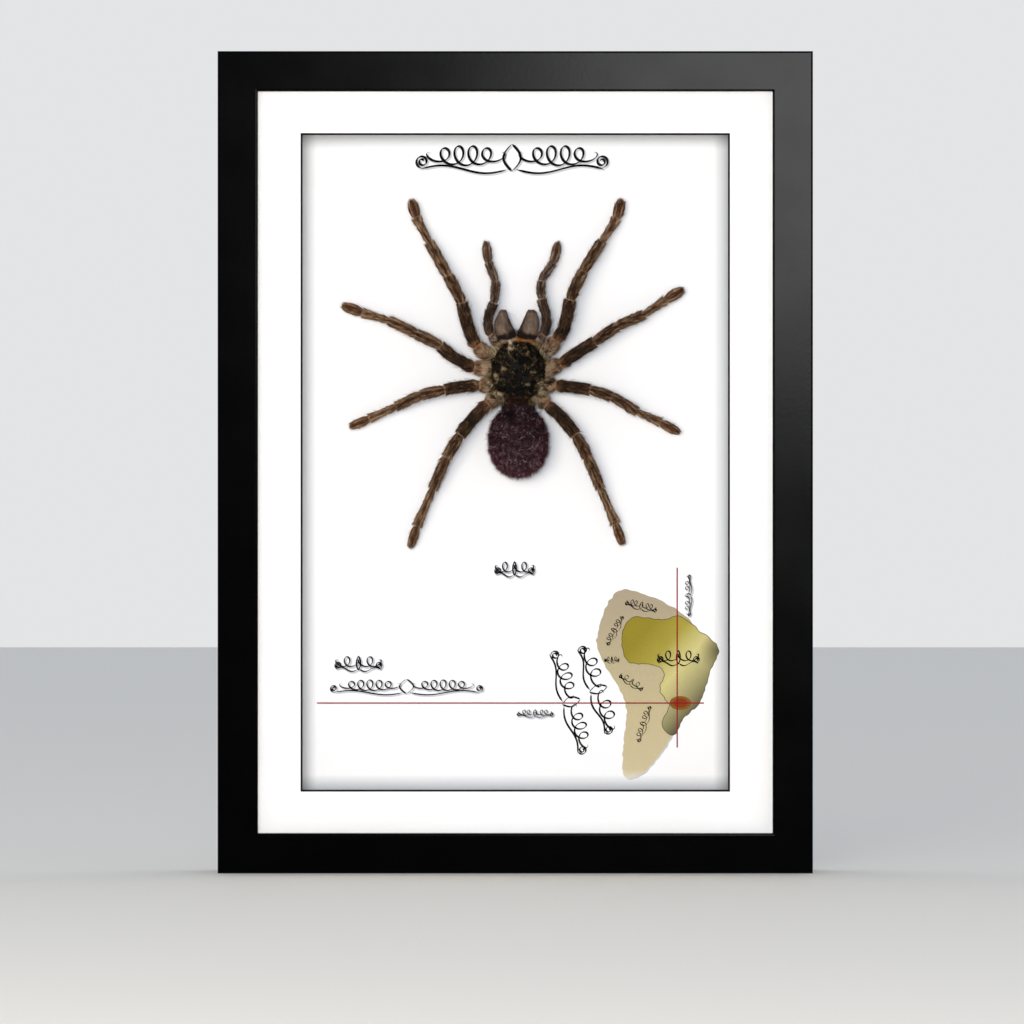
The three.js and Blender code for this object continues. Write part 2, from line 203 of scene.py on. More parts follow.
def satin_lacquer(look):
    """Black nitrocellulose lacquer, sprayed on a moulded wood rail and rubbed to satin: soft-edged
    reflections, broken a little by orange peel and by faint differences in gloss."""
    material, tree = new_material("satin_black_lacquer")
    place = object_place(tree)
    peel = node(tree, "TexNoise", {"Vector": place, "Scale": 1 / look.orange_peel, "Detail": 1.0})
    haze = node(tree, "TexNoise", {"Vector": place, "Scale": 45.0, "Detail": 3.0})
    gloss = node(tree, "MapRange", {
        "Value": haze.outputs[0], "To Min": look.lacquer_roughness - 0.03,
        "To Max": look.lacquer_roughness + 0.04,
    })
    bump = node(tree, "Bump", {"Height": peel.outputs[0], "Strength": 0.05, "Distance": 0.0001})
    return finished(material, node(tree, "BsdfPrincipled", {
        "Base Color": look.lacquer, "Roughness": gloss.outputs[0], "Specular IOR Level": 0.3,
        "Normal": bump.outputs[0],
    }))


def float_glass():
    """Clear float glass, 2 mm: what is behind it shows unchanged, and each face mirrors 4% of what
    is in front of it, rising to all of it at a glancing angle: 0.04 + 0.96 * facing ^ 5."""
    material, tree = new_material("clear_float_glass")
    facing = node(tree, "LayerWeight", {"Blend": 0.5}).outputs["Facing"]
    steep = node(tree, "Math", {0: facing, 1: 5.0}, operation="POWER")
    mirrored = node(tree, "Math", {0: steep.outputs[0], 1: 0.96, 2: 0.04}, operation="MULTIPLY_ADD")
    clear = node(tree, "BsdfTransparent", {"Color": linear("#fefefe")})
    gloss = node(tree, "BsdfGlossy", {"Roughness": 0.02})
    return finished(material, node(tree, "MixShader", {
        0: mirrored.outputs[0], 1: clear.outputs[0], 2: gloss.outputs[0],
    }))


def with_painted_shade(tree, place, tone, halves, middle):
    """A sheet's tone, darkened by painted shade towards the mat's window edge: a cool grey that is full at
    the halves from the middle and fades inwards over PAINTED_SHADE_FADE. The fades across and up are
    multiplied."""
    centred = node(tree, "VectorMath", {
        0: place, 1: (middle[0] * MM, 0, middle[1] * MM),
    }, operation="SUBTRACT")
    apart = node(tree, "VectorMath", {0: centred.outputs[0]}, operation="ABSOLUTE")
    off_middle = node(tree, "SeparateXYZ", {0: apart.outputs[0]})
    across, up = (
        node(tree, "MapRange", {
            "Value": off_middle.outputs[axis], "From Min": (half - PAINTED_SHADE_FADE) * MM,
            "From Max": half * MM, "To Min": 1.0, "To Max": PAINTED_SHADE_EDGE,
        })
        for axis, half in zip("XZ", halves)
    )
    both = node(tree, "Math", {0: across.outputs[0], 1: up.outputs[0]}, operation="MULTIPLY")
    # painted shade: the sheet's tone darkened by both fades
    printed = node(tree, "Mix", {0: 1.0, 6: tone, 7: both.outputs[0]}, **MULTIPLIED)
    shade_amount = node(tree, "Math", {0: 1.0, 1: both.outputs[0]}, operation="SUBTRACT")
    cooled = node(tree, "Mix", {
        0: shade_amount.outputs[0], 6: printed.outputs[2], 7: linear(PAINTED_SHADE_COOLING),
    }, **MULTIPLIED)
    return cooled.outputs[2]


def paper(name, tone, core=None, painted_edge_shade=None):
    """Uncoated white board: matt, with a felt of fibres about 0.3 mm across that shows only as a faint
    tooth. Where a core is given, faces that slope away from the sheet show it. Where painted_edge_shade is
    given, painted shade darkens the sheet towards the mat's window edge; it holds the shade's half-sizes and
    its middle, in millimetres."""
    material, tree = new_material(name)
    place = object_place(tree)
    geometry = node(tree, "NewGeometry")
    fibres = node(tree, "TexNoise", {"Vector": place, "Scale": 3200.0, "Detail": 4.0, "Roughness": 0.7})
    cloud = node(tree, "TexNoise", {"Vector": place, "Scale": 60.0, "Detail": 2.0})
    shade = node(tree, "MapRange", {"Value": cloud.outputs[0], "To Min": 0.985, "To Max": 1.0})
    base = node(tree, "Mix", {0: 1.0, 6: tone, 7: shade.outputs[0]}, **MULTIPLIED)
    bump = node(tree, "Bump", {
        "Height": fibres.outputs[0], "Strength": 0.12, "Distance": 0.00004,
        "Normal": geometry.outputs["True Normal"],
    })
    shown = base.outputs[2]
    if core:
        facing = node(tree, "SeparateXYZ", {0: geometry.outputs["True Normal"]})
        level = node(tree, "Math", {0: facing.outputs["Y"]}, operation="ABSOLUTE")
        slope = node(tree, "Math", {0: level.outputs[0], 1: 0.95}, operation="LESS_THAN")
        cut = node(tree, "Mix", {0: slope.outputs[0], 6: shown, 7: core}, data_type="RGBA")
        shown = cut.outputs[2]
    # painted shade at the mat's window edge
    if painted_edge_shade:
        shown = with_painted_shade(tree, place, shown, *painted_edge_shade)
    return finished(material, node(tree, "BsdfPrincipled", {
        "Base Color": shown, "Roughness": 0.85, "Specular IOR Level": 0.2, "Normal": bump.outputs[0],
    }))


def pressed_board(name, dark, light, grain_mm, roughness):
    """Board pressed from fibres or foamed beads, as hardboard and foam board are: a matt speckle of
    two tones at the grain's size, with the same grain as a fine relief."""
    material, tree = new_material(name)
    place = object_place(tree)
    grain = node(tree, "TexNoise", {
        "Vector": place, "Scale": 1 / (grain_mm * MM), "Detail": 5.0, "Roughness": 0.75,
    })
    tones = node(tree, "ValToRGB", {0: grain.outputs[0]}, stops=[(0.3, dark), (0.7, light)])
    bump = node(tree, "Bump", {"Height": grain.outputs[0], "Strength": 0.35, "Distance": 0.0001})
    return finished(material, node(tree, "BsdfPrincipled", {
        "Base Color": tones.outputs[0], "Roughness": roughness, "Specular IOR Level": 0.25,
        "Normal": bump.outputs[0],
    }))


def rolled_metal(name, tone, roughness, streak_mm):
    """Thin rolled sheet, cut and stamped: the rolls leave streaks along the strip that make the
    shine uneven across it."""
    material, tree = new_material(name)
    turned = node(tree, "Mapping", {"Vector": object_place(tree), "Scale": (1.0, 1.0, 0.08)})
    streaks = node(tree, "TexNoise", {
        "Vector": turned.outputs[0], "Scale": 1 / (streak_mm * MM), "Detail": 3.0,
    })
    gloss = node(tree, "MapRange", {
        "Value": streaks.outputs[0], "To Min": roughness - 0.08, "To Max": roughness + 0.12,
    })
    bump = node(tree, "Bump", {"Height": streaks.outputs[0], "Strength": 0.1, "Distance": 0.00005})
    return finished(material, node(tree, "BsdfPrincipled", {
        "Base Color": linear(tone), "Metallic": 1.0, "Roughness": gloss.outputs[0],
        "Normal": bump.outputs[0],
    }))


def tinted(tree, stops, rust):
    """The colour of cuticle or hair: the ramp at the mesh's tint, turned to the rust colour by its
    rust, both from 0 to 1."""
    tint = node(tree, "Attribute", attribute_name="tint")
    warmth = node(tree, "Attribute", attribute_name="rust")
    tones = node(tree, "ValToRGB", {0: tint.outputs["Fac"]}, stops=stops)
    mixed = node(tree, "Mix", {
        0: warmth.outputs["Fac"], 6: tones.outputs[0], 7: linear(rust),
    }, data_type="RGBA")
    return mixed.outputs[2]


def hair(name, stops, rust):
    """Dry bristles of chitin: matt brown shafts that shade from root to tip, with hardly any shine.
    Their shades come from the mesh."""
    material, tree = new_material(name)
    return finished(material, node(tree, "BsdfPrincipled", {
        "Base Color": tinted(tree, stops, rust), "Roughness": 0.65, "Specular IOR Level": 0.04,
    }))


def cuticle(name, stops, rust, roughness):
    """Dried chitin: hard, a little glossy, pitted every 0.3 mm by the sockets of its hairs."""
    material, tree = new_material(name)
    pits = node(tree, "TexVoronoi", {"Vector": object_place(tree), "Scale": 3300.0})
    bump = node(tree, "Bump", {"Height": pits.outputs["Distance"], "Strength": 0.4, "Distance": 0.00006})
    return finished(material, node(tree, "BsdfPrincipled", {
        "Base Color": tinted(tree, stops, rust), "Roughness": roughness, "Specular IOR Level": 0.14,
        "Normal": bump.outputs[0],
    }))


CORNER_SHADE = 0.14  # share of its own tone that the map's darkened corner keeps


def ink(name, tone):
    """Pigment ink printed on card: flat colour, a little smoother than the paper, with the faint
    unevenness of the sheet under it."""
    material, tree = new_material(name)
    cloud = node(tree, "TexNoise", {"Vector": object_place(tree), "Scale": 900.0, "Detail": 3.0})
    shade = node(tree, "MapRange", {"Value": cloud.outputs[0], "To Min": 0.9, "To Max": 1.06})
    mixed = node(tree, "Mix", {0: 1.0, 6: tone, 7: shade.outputs[0]}, **MULTIPLIED)
    return finished(material, node(tree, "BsdfPrincipled", {
        "Base Color": mixed.outputs[2], "Roughness": 0.6, "Specular IOR Level": 0.06,
    }))


def graded_ink(name, direction, low, high, stops, corner=None):
    """Ink printed as a blend: its colour follows a ramp along a direction across the sheet, from
    low to high in millimetres, as a halftone too fine to see. Around a corner, given by its place
    on the card and the shade's radius, it darkens further, to CORNER_SHADE."""
    material, tree = new_material(name)
    place = object_place(tree)
    along = node(tree, "VectorMath", {0: place, 1: direction}, operation="DOT_PRODUCT")
    share = node(tree, "MapRange", {
        "Value": along.outputs["Value"], "From Min": low * MM, "From Max": high * MM,
    })
    tones = node(tree, "ValToRGB", {0: share.outputs[0]}, stops=stops)
    grain = node(tree, "TexNoise", {"Vector": place, "Scale": 900.0, "Detail": 3.0})
    shade = node(tree, "MapRange", {"Value": grain.outputs[0], "To Min": 0.94, "To Max": 1.04})
    if corner:
        (across, up), radius = corner
        apart = node(tree, "VectorMath", {
            0: place, 1: (across * MM, CARD_FACE * MM, up * MM),
        }, operation="DISTANCE")
        shade = node(tree, "MapRange", {
            "Value": apart.outputs["Value"], "From Max": radius * MM,
            "To Min": CORNER_SHADE, "To Max": shade.outputs[0],
        })
    mixed = node(tree, "Mix", {0: 1.0, 6: tones.outputs[0], 7: shade.outputs[0]}, **MULTIPLIED)
    return finished(material, node(tree, "BsdfPrincipled", {
        "Base Color": mixed.outputs[2], "Roughness": 0.7, "Specular IOR Level": 0.06,
    }))


# ---- Meshes from arrays ----

Part = namedtuple("Part", "points faces tint rust slot")
SKIN_SLOT, HAIR_SLOT, EYE_SLOT = 0, 1, 2  # a piece's materials


def on_card(across, up, height):
    """Points of the animal's own frame as X, Y, Z: the height above the card is towards -Y."""
    return np.stack(np.broadcast_arrays(across, -np.asarray(height, float), up), -1)


def unit(vectors):
    """The vectors at length 1."""
    return vectors / np.maximum(np.linalg.norm(vectors, axis=-1, keepdims=True), 1e-9)


FORWARDS = on_card(0.0, 1.0, 0.0)  # towards the animal's head
OUTWARDS = on_card(0.0, 0.0, 1.0)  # from the card to the viewer


def circle(count):
    """Angles evenly spaced around a circle, in radians."""
    return np.linspace(0, 2 * math.pi, count, endpoint=False)


def peak(away, width):
    """A rounded peak of height 1: e^-(away / width)^2."""
    return np.exp(-((away / width) ** 2))


def cubic(s, span, start, end, leaving, arriving):
    """The cubic from start to end over a span, with the slopes it leaves and arrives with, at s
    from 0 to 1."""
    first = (2 * s**3 - 3 * s**2 + 1) * start + (s**3 - 2 * s**2 + s) * span * leaving
    return first + (3 * s**2 - 2 * s**3) * end + (s**3 - s**2) * span * arriving


def closed_skin(rings, tint, rust, slot=SKIN_SLOT):
    """A closed skin over rings of points (row, side, xyz): two triangles for each cell of the grid,
    wrapped around, and a fan from the middle of each end ring. Turned so that it faces outwards,
    by the sign of its volume. tint and rust are given for each point of the grid."""
    rows, sides = rings.shape[:2]
    index = np.arange(rows * sides).reshape(rows, sides)
    here, ahead = index[:-1], index[1:]
    beside, beyond = np.roll(here, -1, 1), np.roll(ahead, -1, 1)
    walls = np.stack([here, beside, beyond, here, beyond, ahead], -1).reshape(-1, 3)
    first = np.full(sides, rows * sides)
    start = np.stack([first, np.roll(index[0], -1), index[0]], -1)
    end = np.stack([first + 1, index[-1], np.roll(index[-1], -1)], -1)
    faces = np.concatenate([walls, start, end])
    points = np.concatenate([rings.reshape(-1, 3), rings[:1].mean(1), rings[-1:].mean(1)])
    a, b, c = (points[faces[:, i]] for i in range(3))
    if np.einsum("ij,ij->", a, np.cross(b, c)) < 0:
        faces = faces[:, ::-1]
    shades = [np.broadcast_to(s, (rows, sides)).astype(float) for s in (tint, rust)]
    shades = [np.r_[s.ravel(), s[0].mean(), s[-1].mean()] for s in shades]
    return Part(points, faces, *shades, slot)


def strands(roots, along, bend, length, width, tint, rust, rings=1, tip_tint=0.06):
    """Hairs as three-sided spikes, shut at the root and pointed. A hair's middle line is
    root + along * length * s + bend * length * s^2 for s from 0 to 1, and its half-width is
    width / 2 * (1 - s)^0.6. The tint rises by tip_tint towards the tip."""
    count = len(roots)
    along = unit(along)
    across = unit(np.cross(along, along[:, [1, 2, 0]] + 0.3))
    over = np.cross(along, across)
    share = np.arange(rings) / rings
    corner = np.arange(3) * 2 * math.pi / 3
    length = np.broadcast_to(length, count)[:, None, None]
    line = roots[:, None] + along[:, None] * length * share[None, :, None]
    line = line + bend[:, None] * length * share[None, :, None] ** 2
    half = (np.broadcast_to(width, count)[:, None] / 2 * (1 - share) ** 0.6)[:, :, None, None]
    star = across[:, None] * np.cos(corner)[None, :, None] + over[:, None] * np.sin(corner)[None, :, None]
    body = (line[:, :, None] + half * star[:, None]).reshape(count, 3 * rings, 3)
    tips = roots[:, None] + (along[:, None] + bend[:, None]) * length
    points = np.concatenate([body, tips], 1)
    side = np.arange(3)
    step = (side + 1) % 3
    template = [np.stack([side[0:1], side[2:3], side[1:2]], -1)]
    for ring in range(rings - 1):
        low, high = 3 * ring, 3 * ring + 3
        template.append(np.stack([low + side, low + step, high + step], -1))
        template.append(np.stack([low + side, high + step, high + side], -1))
    last = 3 * rings - 3
    template.append(np.stack([last + side, last + step, np.full(3, 3 * rings)], -1))
    size = 3 * rings + 1
    faces = (np.concatenate(template)[None] + size * np.arange(count)[:, None, None]).reshape(-1, 3)
    rise = np.r_[np.repeat(share, 3), 1.0]
    shade = np.broadcast_to(tint, count)[:, None] + tip_tint * rise
    warm = np.broadcast_to(rust, count)[:, None] + 0 * rise
    return Part(points.reshape(-1, 3), faces, shade.ravel().clip(0, 1), warm.ravel().clip(0, 1), HAIR_SLOT)


def add_piece(name, parts, materials, at=(0, 0, 0), smooth=True):
    """One mesh object in metres from parts in millimetres, moved to at, with the parts' tint and
    rust as attributes. It rides on the only body."""
    counts = np.cumsum([0] + [len(part.points) for part in parts[:-1]])
    points = (np.concatenate([part.points for part in parts]) + np.asarray(at)) * MM
    faces = np.concatenate([part.faces + start for part, start in zip(parts, counts)])
    slots = np.concatenate([np.full(len(part.faces), part.slot) for part in parts])
    mesh = bpy.data.meshes.new(name)
    mesh.vertices.add(len(points))
    mesh.vertices.foreach_set("co", points.astype(np.float32).ravel())
    mesh.loops.add(faces.size)
    mesh.loops.foreach_set("vertex_index", faces.astype(np.int32).ravel())
    mesh.polygons.add(len(faces))
    mesh.polygons.foreach_set("loop_start", np.arange(0, faces.size, 3, dtype=np.int32))
    mesh.polygons.foreach_set("material_index", slots.astype(np.int32))
    mesh.polygons.foreach_set("use_smooth", np.full(len(faces), smooth))
    for attribute in ("tint", "rust"):
        layer = mesh.attributes.new(attribute, "FLOAT", "POINT")
        values = np.concatenate([getattr(part, attribute) for part in parts])
        layer.data.foreach_set("value", values.astype(np.float32))
    for material in materials:
        mesh.materials.append(material)
    mesh.update(calc_edges=True)
    mesh.validate()
    piece = bpy.data.objects.new(name, mesh)
    bpy.context.scene.collection.objects.link(piece)
    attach(piece, "root")
    return piece


def mottle(points, size, seed):
    """Smooth patches from -1 to 1, about size across: the mean of waves in random directions."""
    rng = np.random.default_rng(seed)
    waves = unit(rng.normal(size=(9, 3))) * (math.pi / size) * rng.uniform(0.6, 1.5, (9, 1))
    phase = rng.uniform(0, 2 * math.pi, 9)
    return np.sin(points @ waves.T + phase).mean(-1) * 2


def swirl(points, size, seed):
    """Directions that wander smoothly over the points: three mottles side by side."""
    return np.stack([mottle(points, size, seed + i) for i in range(3)], -1)


def turns(count, crowding, rng):
    """Random angles around a limb or body, in radians from its top, where they lie thicker the
    further crowding is over 1."""
    return rng.choice([-1, 1], count) * math.pi * rng.uniform(0, 1, count) ** crowding


# ---- Limbs ----

Limb = namedtuple("Limb", "hip girth pad lengths headings")

# Each limb's hip, girth, tarsus width, and the length and heading in degrees of each stretch.
LIMBS = {
    "leg_1_left": Limb((-11.7, 5.4), 2.5, 1.0, (7.2, 4.2, 7.2, 6.0, 11.9, 15.5, 11.3, 7.3),
                       (136, 118, 108, 104, 117, 119, 117, 107)),
    "leg_2_left": Limb((-10.9, 0.6), 2.4, 1.0, (7.5, 5.0, 5.2, 5.0, 10.6, 12.3, 10.9, 8.9),
                       (174, 154, 149, 138, 153, 154, 163, 160)),
    "leg_3_left": Limb((-10.9, -6.2), 2.3, 0.92, (5.2, 4.4, 4.4, 4.5, 9.4, 11.2, 11.6, 8.5),
                       (178, 184, 187, 191, 193, 204, 204, 204)),
    "leg_4_left": Limb((-8.9, -11.0), 2.5, 0.82, (4.6, 5.6, 5.2, 5.2, 10.3, 13.8, 16.1, 9.2),
                       (217, 224, 229, 233, 239, 246, 247, 252)),
    "leg_1_right": Limb((10.7, 7.0), 2.5, 1.0, (7.4, 4.3, 6.1, 6.1, 12.3, 14.2, 10.9, 7.8),
                        (49, 57, 75, 78, 66, 58, 58, 74)),
    "leg_2_right": Limb((10.7, 0.2), 2.4, 1.0, (7.4, 4.4, 4.7, 6.0, 11.0, 11.7, 10.5, 8.4),
                        (22, 34, 34, 32, 34, 25, 33, 32)),
    "leg_3_right": Limb((11.1, -5.6), 2.3, 0.92, (4.4, 4.1, 4.4, 4.6, 8.9, 11.8, 10.4, 8.6),
                        (-6, -6, -7, -10, -17, -30, -25, -28)),
    "leg_4_right": Limb((8.7, -11.4), 2.5, 0.82, (4.1, 5.2, 5.2, 5.6, 9.8, 13.8, 15.3, 8.9),
                        (-40, -40, -48, -52, -62, -67, -67, -70)),
    "pedipalp_left": Limb((-7.7, 11.8), 1.9, 1.1, (4.5, 3.5, 4.0, 4.9, 8.6, 8.0, 8.7),
                          (139, 105, 85, 69, 85, 109, 98)),
    "pedipalp_right": Limb((6.7, 11.8), 1.9, 1.1, (4.5, 3.6, 4.4, 6.0, 7.0, 8.5, 8.8),
                           (41, 72, 94, 105, 91, 59, 74)),
}
# Heights of the joints above the card, from hip to claw.
LEG_HEIGHTS = (6.2, 6.6, 7.6, 8.8, 9.4, 8.6, 5.6, 3.6, 2.4)
PALP_HEIGHTS = (5.6, 6.0, 6.6, 7.2, 7.4, 6.0, 3.8, 2.4)
# Stretches are numbered as on a leg: 0 coxa and trochanter, 1 to 3 femur, 4 patella, 5 tibia,
# 6 metatarsus, 7 tarsus. A pedipalp has no 6. Half-widths are shares of the girth.
GIRTH_AT = (0, 0.45, 0.86, 1.4, 2.5, 3.5, 3.95, 4.06, 4.55, 4.94, 5.08, 5.5, 5.95, 6.05, 6.5, 6.92, 7.03,
            7.25, 7.55, 7.85, 8)
GIRTHS = (0.92, 0.98, 0.96, 1.0, 1.0, 1.04, 0.99, 0.86, 0.95, 0.86, 0.84, 0.85, 0.82, 0.56, 0.62, 0.88,
          0.68, 0.92, 0.97, 0.68, 0.2)
# How light each stretch is.
GROUND_AT = (0, 0.65, 0.84, 0.91, 2, 3, 3.9, 4.1, 5, 5.9, 6.1, 6.95, 7.06, 7.9, 8)
GROUNDS = (0.62, 0.53, 0.45, 0.28, 0.26, 0.29, 0.35, 0.4, 0.47, 0.53, 0.57, 0.65, 0.54, 0.54, 0.9)
JOINTS = (0.86, 4, 5, 6, 7)  # where rings show; the first is the furred end of the coxa
METATARSUS, TARSUS = 6, 7
# A ring's half-width, in millimetres at a joint and in stretches at the femur's root, its tint, and
# how far it covers the ground.
JOINT_RING = (0.46, 0.92, 0.8)
ROOT_RING = (0.07, 0.85, 0.85)
SKIN_DARKER = 0.14  # a limb's cuticle against its hairs
PALP_DULLER = 0.2  # a pedipalp's coxa against a leg's
LIMB_SEED = 11
CLUMP_SIZE = 1.3
BARE_GAP = 0.3  # to each side of a joint, without hairs
ROOT_DEPTH = 0.08
SHORT_PER_LONG = 14
STATIONS = 20  # along each stretch
LIMB_SIDES = 30
BEND_SHARE = 0.75  # under 1 straightens each stretch and sharpens the bend at its joint
FAR = 99.0

LimbLine = namedtuple("LimbLine", "key run middle along side rise radius joint_gap ahead")


def limb_line(limb, skin_share):
    """A limb's middle line and half-width at its stations. Joints are walked out by length and
    heading. Between two joints the line is a cubic, whose slope at a joint is BEND_SHARE of that of
    the parabola through the neighbouring joints. Stations crowd towards the joints as a cosine. The
    half-width dips by a fifth at a joint past the coxa's, as a peak 0.45 mm wide."""
    count = len(limb.lengths)
    is_leg = count == len(LEG_HEIGHTS) - 1
    heights = LEG_HEIGHTS if is_leg else PALP_HEIGHTS
    turn = np.radians(limb.headings)
    steps = np.array(limb.lengths)[:, None] * np.stack([np.cos(turn), np.sin(turn)], 1)
    plan = np.concatenate([[limb.hip], steps]).cumsum(0)
    joints = on_card(plan[:, 0], plan[:, 1], np.array(heights))
    spans = np.linalg.norm(np.diff(joints, axis=0), axis=1)
    reach = np.r_[0, spans.cumsum()]
    slopes = np.gradient(joints, reach, axis=0) * BEND_SHARE
    share = (1 - np.cos(math.pi * (np.arange(STATIONS) + 0.5) / STATIONS)) / 2
    place = np.r_[(np.arange(count)[:, None] + share).ravel(), count]
    k = np.minimum(place.astype(int), count - 1)
    s, span = (place - k)[:, None], spans[k][:, None]
    middle = cubic(s, span, joints[k], joints[k + 1], slopes[k], slopes[k + 1])
    run = reach[k] + (place - k) * spans[k]
    along = unit(np.gradient(middle, run, axis=0))
    side = unit(np.cross(along, (0.0, -1.0, 0.0)))
    rise = np.cross(side, along)
    key = place if is_leg else np.where(place >= METATARSUS, place + 1, place)
    joint_keys = [j for j in JOINTS if is_leg or j != METATARSUS]
    joint_runs = np.interp(
        [j if is_leg or j < METATARSUS else j - 1 for j in joint_keys], np.arange(count + 1), reach
    )
    gaps = run[:, None] - joint_runs
    joint_gap = np.abs(gaps).min(1)
    ahead = np.where(gaps < 0, -gaps, FAR).min(1)
    radius = limb.girth * np.interp(key, GIRTH_AT, GIRTHS) * np.where(key >= TARSUS, limb.pad, 1)
    radius = radius * skin_share * (1 - 0.2 * (key > 1) * peak(joint_gap, 0.45))
    return LimbLine(key, run, middle, along, side, rise, radius, joint_gap, ahead)


def limb_shades(key, run, angle, radius, joint_gap, seed):
    """Tint and rust of a limb at its stretch number and angle from the top, in radians. The coxa is
    tan, and the femur near black, a little lighter towards its end. From there on a dark middle
    line lies between two pale ones, and the tarsus has fine lines besides. Streaks break it all,
    long along the limb and narrow across it. A pale ring lies at each joint, orange at the root of
    the femur."""
    ground = np.interp(key, GROUND_AT, GROUNDS)
    around = np.stack(np.broadcast_arrays(run * 0.22, radius * np.sin(angle), radius * np.cos(angle)), -1)
    streak = np.tanh(1.8 * mottle(around, 0.5, seed))
    patch = mottle(around * (4, 1, 1), 3.0, seed + 1)
    bend = np.abs((angle + math.pi) % (2 * math.pi) - math.pi)
    striped = np.interp(key, [2.5, 4.2, 7.9, 8], [0.1, 1, 1, 0])
    on_tarsus = np.clip((key - TARSUS - 0.05) * 12, 0, 1)
    pale_lines = peak(bend - 0.62 - 0.1 * on_tarsus, 0.2 + 0.05 * on_tarsus)
    dark_line = peak(bend, 0.3 + 0.08 * on_tarsus)
    tint = ground + striped * (0.14 * pale_lines - (0.15 + 0.12 * on_tarsus) * dark_line)
    tint = tint + streak * (0.06 + 0.16 * striped + 0.2 * np.clip(1.1 - key, 0, 1)) + 0.06 * patch
    tint = tint + 0.1 * on_tarsus * np.cos(10 * bend)
    root_ring = peak(key - JOINTS[0], ROOT_RING[0]) * (0.7 + 0.3 * np.tanh(3 * patch)) * (bend < 1.25)
    for ring, (_, pale, cover) in ((peak(joint_gap, JOINT_RING[0]), JOINT_RING), (root_ring, ROOT_RING)):
        tint = tint + (pale - tint) * ring * cover
    rust = 0.02 * patch + 0.16 * peak(key - 0.7, 0.18) + 0.6 * root_ring
    rust = rust + 0.07 * on_tarsus * (bend < 1.0) + 0.1 * striped * np.clip(-streak, 0, 1)
    return tint.clip(0, 1), rust.clip(0, 1)


def limb_skin(line, seed, dull):
    """A limb's cuticle, in round rings: middle + half-width * (side * sin + rise * cos)."""
    angle = circle(LIMB_SIDES)
    out = line.side[:, None] * np.sin(angle)[:, None] + line.rise[:, None] * np.cos(angle)[:, None]
    rings = line.middle[:, None] + line.radius[:, None, None] * out
    key, run, radius, gap = (part[:, None] for part in (line.key, line.run, line.radius, line.joint_gap))
    tint, rust = limb_shades(key, run, angle, radius, gap, seed)
    tint = tint - SKIN_DARKER * (gap > 0.4) - dull * (key < JOINTS[0])
    return closed_skin(rings, tint.clip(0, 1), rust)


def short_hairs(key, ahead, rooted, clump, tint, rng):
    """Length, tilt from the skin in radians, and tint of a limb's short hairs. They shorten towards
    the claw, and lie flatter there. Just before a joint they are short and stand up as a collar. On
    the coxa they are long, wild and of mixed tints."""
    count = len(key)
    near_joint = np.clip(ahead / 1.2, 0.45, 1)
    length = np.interp(key, [0, 0.9, 1.2, 4, 6, 7, 8], [2.8, 2.4, 1.35, 1.4, 1.5, 1.25, 0.8])
    length = length * rng.normal(1, 0.22, count).clip(0.4, 1.7) * near_joint * (1 + 0.25 * clump)
    tilt = 27 + 14 * rooted + 24 * (1 - near_joint) * (key > JOINTS[0])
    tilt = tilt + 7 * clump - 6 * (key > TARSUS)
    tilt = np.radians(tilt + rng.normal(0, 7 + 12 * rooted, count))
    length = np.minimum(length, ahead * 0.95 + 0.3 - 0.3 * (rooted > 0))
    strewn = (rng.uniform(size=count) < 0.1) * rng.uniform(0.1, 0.35, count)
    tint = tint + rng.normal(0, 0.09 + 0.14 * rooted, count) + strewn - 0.03
    return length, tilt, tint + rooted * (0.62 * np.tanh(2 * clump) - 0.06)


def long_hairs(key, tint, rng):
    """Length, tilt and tint of the long pale hairs that stand up between the short ones."""
    count = len(key)
    length = rng.uniform(2.2, 4.2, count) * np.interp(key, [0, 1, 6.5, 8], [0.9, 1, 0.8, 0.4])
    tilt = np.radians(rng.normal(44, 12, count))
    return length, tilt, (tint + 0.2).clip(0, 0.8)


def limb_hairs(line, count, long, width, seed, dull, rng):
    """A limb's short or long hairs, each rooted at random, more thickly on the coxa. A hair leaves
    the skin along the limb, tilted outwards, and bends back towards it."""
    spacing = np.gradient(line.run)
    weight = line.radius * spacing * (line.joint_gap > BARE_GAP)
    weight = weight * np.interp(line.key, [0.9, 1.1], [2.0, 1])
    pick = rng.choice(len(weight), count, p=weight / weight.sum())
    turn = turns(count, 1.2, rng)
    key, along, radius = line.key[pick], line.along[pick], line.radius[pick]
    slide = rng.uniform(-0.5, 0.5, count) * spacing[pick]
    out = line.side[pick] * np.sin(turn)[:, None] + line.rise[pick] * np.cos(turn)[:, None]
    root = line.middle[pick] + along * slide[:, None] + out * (radius - ROOT_DEPTH)[:, None]
    tint, rust = limb_shades(key, line.run[pick] + slide, turn, radius, line.joint_gap[pick] + 0.05, seed)
    clump = mottle(root, CLUMP_SIZE, seed + 50)
    rooted = np.clip(1.15 - key, 0, 1) * (key < JOINTS[0])
    tint = tint - dull * rooted
    if long:
        length, tilt, tint = long_hairs(key, tint, rng)
    else:
        length, tilt, tint = short_hairs(key, line.ahead[pick], rooted, clump, tint, rng)
    sideways = rng.normal(0, 0.14 + 0.45 * rooted, count)[:, None] + 0.35 * clump[:, None]
    heading = along * np.cos(tilt)[:, None] + out * np.sin(tilt)[:, None] + np.cross(along, out) * sideways
    bend = along * 0.2 - out * np.sin(tilt)[:, None] * 0.25
    width = width * (0.45 if long else 1)
    return strands(root, heading, bend, length, width, tint, rust, rings=2 if long else 1)


